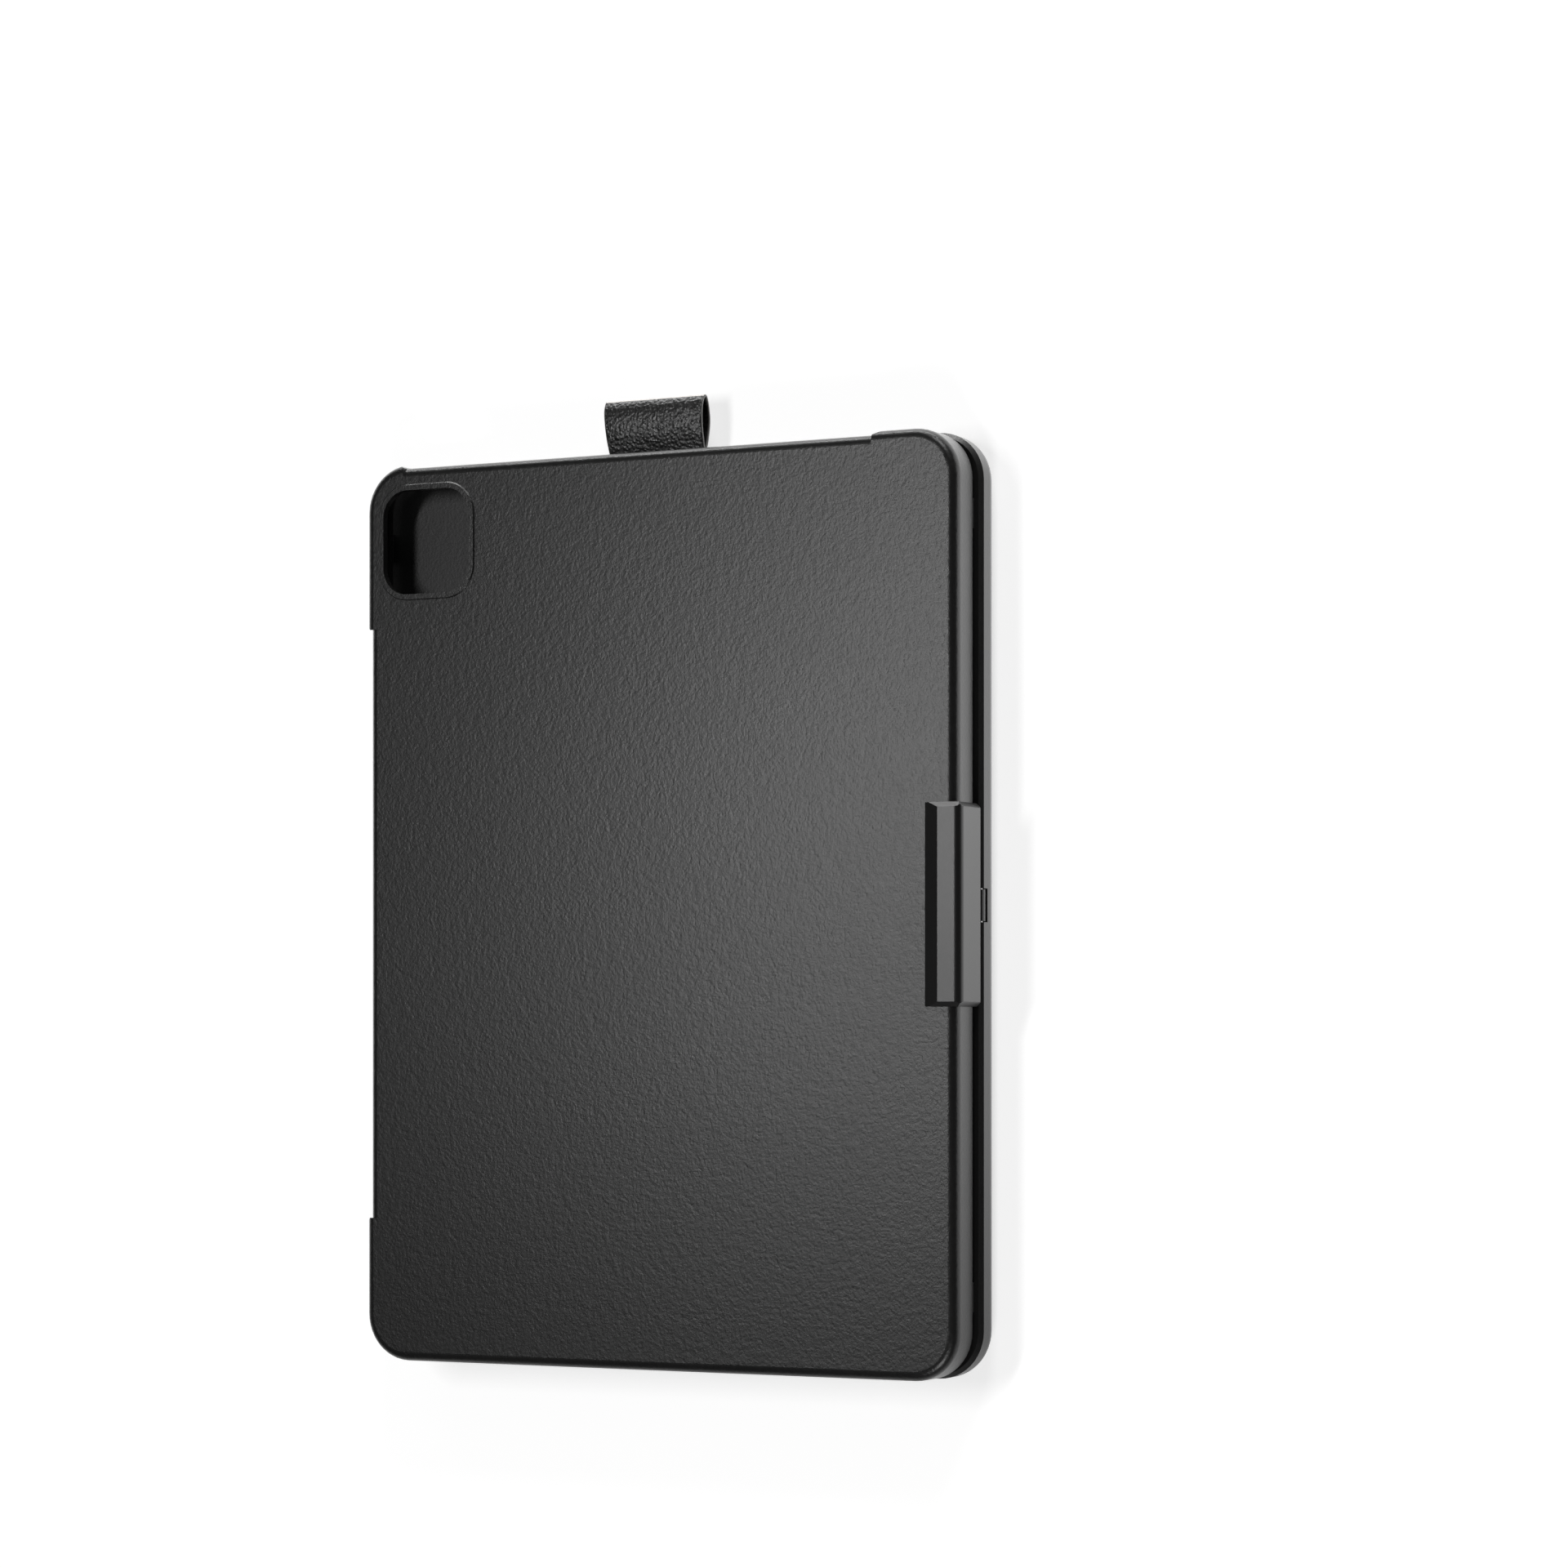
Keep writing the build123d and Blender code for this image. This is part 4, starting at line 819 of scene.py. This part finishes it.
@dataclass
class KeyLegends:
    """Printed legends on the keys, one thin print for each key node, and the two homing bars."""

    nodes: dict[str, bpy.types.Object]
    members: dict[str, list[str]]
    letter: float = 4.2 * MM
    word: float = 2.7 * MM
    film: float = 0.02 * MM
    arrow: float = 1.3 * MM
    bar: Point = (1.6 * MM, 0.28 * MM, 0.2 * MM)
    bar_drop: float = 4.6 * MM
    homing: tuple[int, int] = (3, 6)
    arrowhead: tuple[tuple[float, float], ...] = ((0.0, 1.1), (2.3, 1.0), (math.pi, 0.35), (-2.3, 1.0))

    def texts(self) -> dict[str, list[str]]:
        """List what each key node says.

        Returns:
            The legends of each node's keys, from left to right.
        """
        return {
            "key_escape": ["esc"],
            "keys_function_row": [f"F{number}" for number in range(1, 13)] + ["del"],
            "keys_number_row": list("`1234567890-="),
            "key_backspace": ["back"],
            "key_tab": ["tab"],
            "keys_upper_letter_row": list("QWERTYUIOP[]\\"),
            "key_caps_lock": ["caps"],
            "keys_home_letter_row": list("ASDFGHJKL;'"),
            "key_enter": ["enter"],
            "key_left_shift": ["shift"],
            "keys_lower_letter_row": list("ZXCVBNM,./"),
            "key_right_shift": ["shift"],
            "keys_modifier_row": ["fn", "ctrl", "menu", "alt", "alt", "ctrl"],
        }

    def print_text(self, mesh: bmesh.types.BMesh, text: str, centre: Vector) -> None:
        """Add one legend to a mesh.

        Args:
            mesh: The mesh that collects a node's legends.
            text: The legend.
            centre: The middle of the key's top.
        """
        curve = bpy.data.curves.new("legend", "FONT")
        curve.body, curve.align_x, curve.align_y = text, "CENTER", "CENTER"
        curve.size = self.letter if len(text) == 1 else self.word
        curve.extrude, curve.resolution_u = self.film / 2, 3
        holder = bpy.data.objects.new("legend", curve)
        flat = bpy.data.meshes.new_from_object(holder)
        flat.transform(Matrix.Translation(centre))
        mesh.from_mesh(flat)
        bpy.data.objects.remove(holder)
        bpy.data.curves.remove(curve)
        bpy.data.meshes.remove(flat)

    def print_arrow(self, mesh: bmesh.types.BMesh, turn: float, centre: Vector) -> None:
        """Add one arrowhead to a mesh.

        Args:
            mesh: The mesh that it is added to.
            turn: Where it points, as a turn from +X.
            centre: The middle of the key's top.
        """
        rim = []
        for height in (-self.film / 2, self.film / 2):
            for way, reach in self.arrowhead:
                spot = Vector((math.cos(turn + way), math.sin(turn + way), 0)) * reach * self.arrow
                rim.append(mesh.verts.new(centre + spot + Vector((0, 0, height))))
        lower, upper = rim[:4], rim[4:]
        mesh.faces.new(upper)
        mesh.faces.new(lower[::-1])
        for index in range(4):
            following = (index + 1) % 4
            mesh.faces.new((lower[index], lower[following], upper[following], upper[index]))

    def place_print(
        self, name: str, mesh: bmesh.types.BMesh, material: bpy.types.Material
    ) -> None:
        """Turn a mesh of print into a piece that moves with its key.

        Args:
            name: The key node that it is printed on.
            mesh: The print.
            material: Its finish.
        """
        piece = object_from(f"print_{name}", mesh, [material])
        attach(piece, body_of(name, self.members))

    def build(self, caps: bpy.types.Material) -> None:
        """Print every key and raise the homing bars.

        Args:
            caps: The finish of the keys, which the homing bars share.
        """
        ink = KeyLegend("key_legend").material()
        lift = Vector((0, 0, self.film * 0.6))
        for name, texts in self.texts().items():
            mesh = bmesh.new()
            for text, (low, high) in zip(texts, islands(self.nodes[name])):
                self.print_text(mesh, text, middle_of_top(low, high) + lift)
            self.place_print(name, mesh, ink)
        for way in Way:
            name = f"key_arrow_{way.name.lower()}"
            mesh = bmesh.new()
            self.print_arrow(mesh, way.value, middle_of_top(*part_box(name)) + lift)
            self.place_print(name, mesh, ink)
        mesh = bmesh.new()
        home = islands(self.nodes["keys_home_letter_row"])
        for index in self.homing:
            spot = middle_of_top(*home[index]) - Vector((0, self.bar_drop, 0))
            shape = Matrix.Translation(spot) @ Matrix.Diagonal((*self.bar, 1.0))
            bmesh.ops.create_uvsphere(mesh, u_segments=20, v_segments=10, radius=1.0, matrix=shape)
        for face in mesh.faces:
            face.smooth = True
        piece = object_from("homing_bars", mesh, [caps])
        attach(piece, body_of("keys_home_letter_row", self.members))


@dataclass
class PencilLoop:
    """Leather band folded into a flat loop, its tail clamped in the base's seam.

    The profile runs from the end of the upper tail over the crown, round the fold and back under to
    the end of the lower tail. Each point is a distance out from the base and a height over the seam,
    at the middle of the leather, in millimetres.
    """

    width: float = 31.0 * MM
    thickness: float = 0.9 * MM
    taper: float = 1.3 * MM
    pinch: float = 0.14
    crease: float = 0.05 * MM
    across: int = 44
    per_run: int = 7
    fold: int = 7
    crest_steps: int = 6
    inset: float = 0.02
    ripples: float = 420.0
    edge_shares: tuple[tuple[float, float], ...] = ((0.0, 0.6), (0.004, 0.84), (0.011, 0.97))
    profile: tuple[tuple[float, float], ...] = (
        (-2.6, 0.46),
        (0.0, 0.46),
        (2.4, 1.2),
        (6.0, 2.15),
        (9.6, 2.45),
        (12.6, 2.1),
        (14.6, 1.0),
        (15.15, 0.0),
        (14.7, -1.0),
        (12.2, -2.25),
        (8.0, -2.9),
        (3.2, -1.75),
        (0.0, -0.46),
        (-2.6, -0.46),
    )

    def columns(self) -> list[tuple[float, float]]:
        """Choose places across the band, closer together at its edges.

        Returns:
            Places from -0.5 to 0.5, each with its share of the thickness.
        """
        lows = [(-0.5 + place, share) for place, share in self.edge_shares]
        span = 1 - 2 * self.inset
        middle = [(-0.5 + self.inset + span * step / self.across, 1.0) for step in range(self.across + 1)]
        return lows + middle + [(-place, share) for place, share in reversed(lows)]

    def row(self, out: float, height: float, normal: Vector, root: Point) -> list[tuple[Vector, Vector]]:
        """Outer and inner points across the band at one place on its profile.

        Args:
            out: Distance out from the base.
            height: Height over the seam.
            normal: Which way is outwards, in X and Z.
            root: Where the middle of the loop leaves the base.

        Returns:
            A pair of points for each column.
        """
        reach = self.profile[self.fold][0] * MM
        narrowing = self.taper * (1 - min(max(out / reach, 0.0), 1.0))
        points = []
        for share, thick in self.columns():
            y = root[1] + share * self.width + (0.5 - share) * narrowing
            flat = 1 - self.pinch * abs(2 * share) ** 5
            middle = Vector((root[0] - out, y, root[2] + height * flat))
            ripple = self.crease * noise.noise(middle * self.ripples) * (1 if out > 0 else 0)
            offset = normal * (self.thickness / 2 * thick)
            points.append((middle + offset + normal * ripple, middle - offset))
        return points

    def build(self) -> bpy.types.Object:
        """Build the band as one thick strip.

        Returns:
            The loop, in place on the base.
        """
        low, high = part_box("pencil_loop")
        root = (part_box("base_bottom_cover")[0].x, (low.y + high.y) / 2, (low.z + high.z) / 2)
        path = list(smooth_run([(out * MM, up * MM) for out, up in self.profile], self.per_run))
        mesh = bmesh.new()
        rows = []
        for index, (out, up) in enumerate(path):
            before, after = path[max(index - 1, 0)], path[min(index + 1, len(path) - 1)]
            way = Vector((before[0] - after[0], 0, after[1] - before[1])).normalized()
            pairs = self.row(out, up, Vector((way.z, 0, -way.x)), root)
            ring = [outer for outer, _ in pairs] + [inner for _, inner in reversed(pairs)]
            rows.append([mesh.verts.new(spot) for spot in ring])
        count, half = len(rows[0]), len(rows[0]) // 2
        cut = (0, 1, half - 2, half - 1, half, half + 1, count - 2, count - 1)
        fold = self.fold * self.per_run
        crest = range(fold - self.crest_steps, fold)
        for step, (first, second) in enumerate(zip(rows, rows[1:])):
            for index in range(count):
                following = (index + 1) % count
                face = mesh.faces.new((first[index], first[following], second[following], second[index]))
                face.smooth = True
                # Outer faces along the fold's crest take slot 2, a pale strip that is a painted highlight.
                face.material_index = 1 if index in cut else 2 if step in crest and index < half else 0
        mesh.faces.new(rows[0]).material_index = 1
        mesh.faces.new(rows[-1][::-1]).material_index = 1
        bmesh.ops.recalc_face_normals(mesh, faces=mesh.faces)
        finishes = [
            PebbledLeather("loop_leather").material(),
            CutEdge("leather_edge").material(),
            # A pale cut-edge finish, used as a painted highlight along the fold.
            CutEdge("leather_rubbed_fold", 0.8).material(),
        ]
        return object_from("leather_pencil_loop", mesh, finishes)

    def place(self) -> bpy.types.Object:
        """Build the loop, set it on the base and let it stand for the plain solid.

        Returns:
            The loop.
        """
        piece = self.build()
        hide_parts("pencil_loop")
        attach(piece, Body.BASE.value)
        return piece


@dataclass(frozen=True)
class Softbox:
    """One lamp: where it hangs, its two sides and its power in watts."""

    name: str
    place: Point
    size: tuple[float, float]
    power: float


@dataclass
class Studio:
    """Floor, lamps and camera."""

    turn: float = math.radians(27.13)
    distance: float = 1161.8 * MM
    lens: float = 97.18
    sensor: float = 36.0
    aim: Point = (34.89 * MM, 0.0, 12.0 * MM)
    slide: float = 30.45 * MM
    shift: float = 0.1613
    floor_size: float = 8.0
    room_light: float = 0.04
    # Where the painted reflection band in the world ends and how far it fades.
    painted_band_height: float = 0.0
    painted_band_fade: float = 0.08
    lamps: tuple[Softbox, ...] = (
        Softbox("key_softbox", (-0.15, -0.385, 1.14), (0.5, 0.1), 3.5),
        Softbox("loop_end_strip", (-1.1, -0.2, 0.07), (0.9, 0.1), 5.0),
        Softbox("loop_end_fill", (-0.97, 0.3, 0.56), (0.35, 0.35), 3.0),
        Softbox("far_end_fill", (0.79, 0.29, 0.79), (0.35, 0.35), 3.0),
    )

    def camera(self) -> None:
        """Make the camera, above the hinge edge with the long side upright in the frame."""
        up = Vector((-1, 0, 0))
        back = Vector((0, math.sin(self.turn), math.cos(self.turn)))
        right = up.cross(back)
        data = bpy.data.cameras.new("camera")
        data.lens, data.sensor_width, data.shift_y = self.lens, self.sensor, self.shift
        data.clip_start, data.clip_end = 0.05, 50.0
        camera = bpy.data.objects.new("camera", data)
        camera.matrix_world = Matrix.Translation(
            Vector(self.aim) + back * self.distance + right * self.slide
        ) @ Matrix((right, up, back)).transposed().to_4x4()
        bpy.context.scene.collection.objects.link(camera)
        bpy.context.scene.camera = camera

    def floor(self) -> None:
        """Make the floor."""
        mesh = bmesh.new()
        bmesh.ops.create_grid(mesh, x_segments=2, y_segments=2, size=self.floor_size / 2)
        floor = object_from("studio_floor", mesh, [StudioSurface("studio_floor").material()])

    def lamp(self, box: Softbox) -> None:
        """Hang one softbox, facing the object.

        Args:
            box: The lamp to hang.
        """
        data = bpy.data.lights.new(box.name, "AREA")
        data.shape, data.energy = "RECTANGLE", box.power
        data.size, data.size_y = box.size
        lamp = bpy.data.objects.new(box.name, data)
        lamp.location = box.place
        lamp.rotation_mode = "QUATERNION"
        lamp.rotation_quaternion = (-Vector(box.place)).to_track_quat("-Z", "Y")
        bpy.context.scene.collection.objects.link(lamp)

    def world(self) -> None:
        """Surround the object with a dim room, white to the lens, with a painted reflection: white near and
        below the horizon in glossy rays only.
        """
        world = bpy.data.worlds.new("studio_world")
        world.use_nodes = True
        recipe = Recipe(world.node_tree)
        top = self.painted_band_height + self.painted_band_fade
        # Painted reflection: glossy rays see white near and below the horizon, other rays only the dim
        # room.
        painted_reflection_band = 1 - recipe.ramp(recipe.axis_value("Z"), self.painted_band_height, top)
        white = recipe.ray(Ray.CAMERA) + recipe.mirrored() * painted_reflection_band
        tone = recipe.blend(white, grey(self.room_light), grey(1.0))
        background = recipe.node("ShaderNodeBackground", None, {"Color": tone, "Strength": 1.0})
        output = recipe.node("ShaderNodeOutputWorld")
        recipe.tree.links.new(background.outputs[0], output.inputs["Surface"])
        bpy.context.scene.world = world

    def build(self) -> None:
        """Set up the whole studio."""
        self.camera()
        self.floor()
        for box in self.lamps:
            self.lamp(box)
        self.world()
        bpy.context.scene.view_settings.view_transform = "Standard"


def main() -> None:
    """Dress the case, build its new pieces and set up the studio."""
    logging.basicConfig(level=logging.INFO, format="%(name)s: %(message)s")
    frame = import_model()
    nodes, members = frame["nodes"], frame["record"]["behaviour"]["bodies"]
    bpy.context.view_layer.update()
    for part in (Lid(nodes), VolumeButtons(nodes), Base(nodes)):
        part.dress()
        LOG.info("dressed %s", type(part).__name__)
    caps = Keyboard(nodes).dress()
    KeyLegends(nodes, members).build(caps)
    LOG.info("dressed and printed the keys")
    loop = PencilLoop().place()
    LOG.info("built %s with %d faces", loop.name, len(loop.data.polygons))
    Studio().build()


if __name__ == "__main__":
    main()
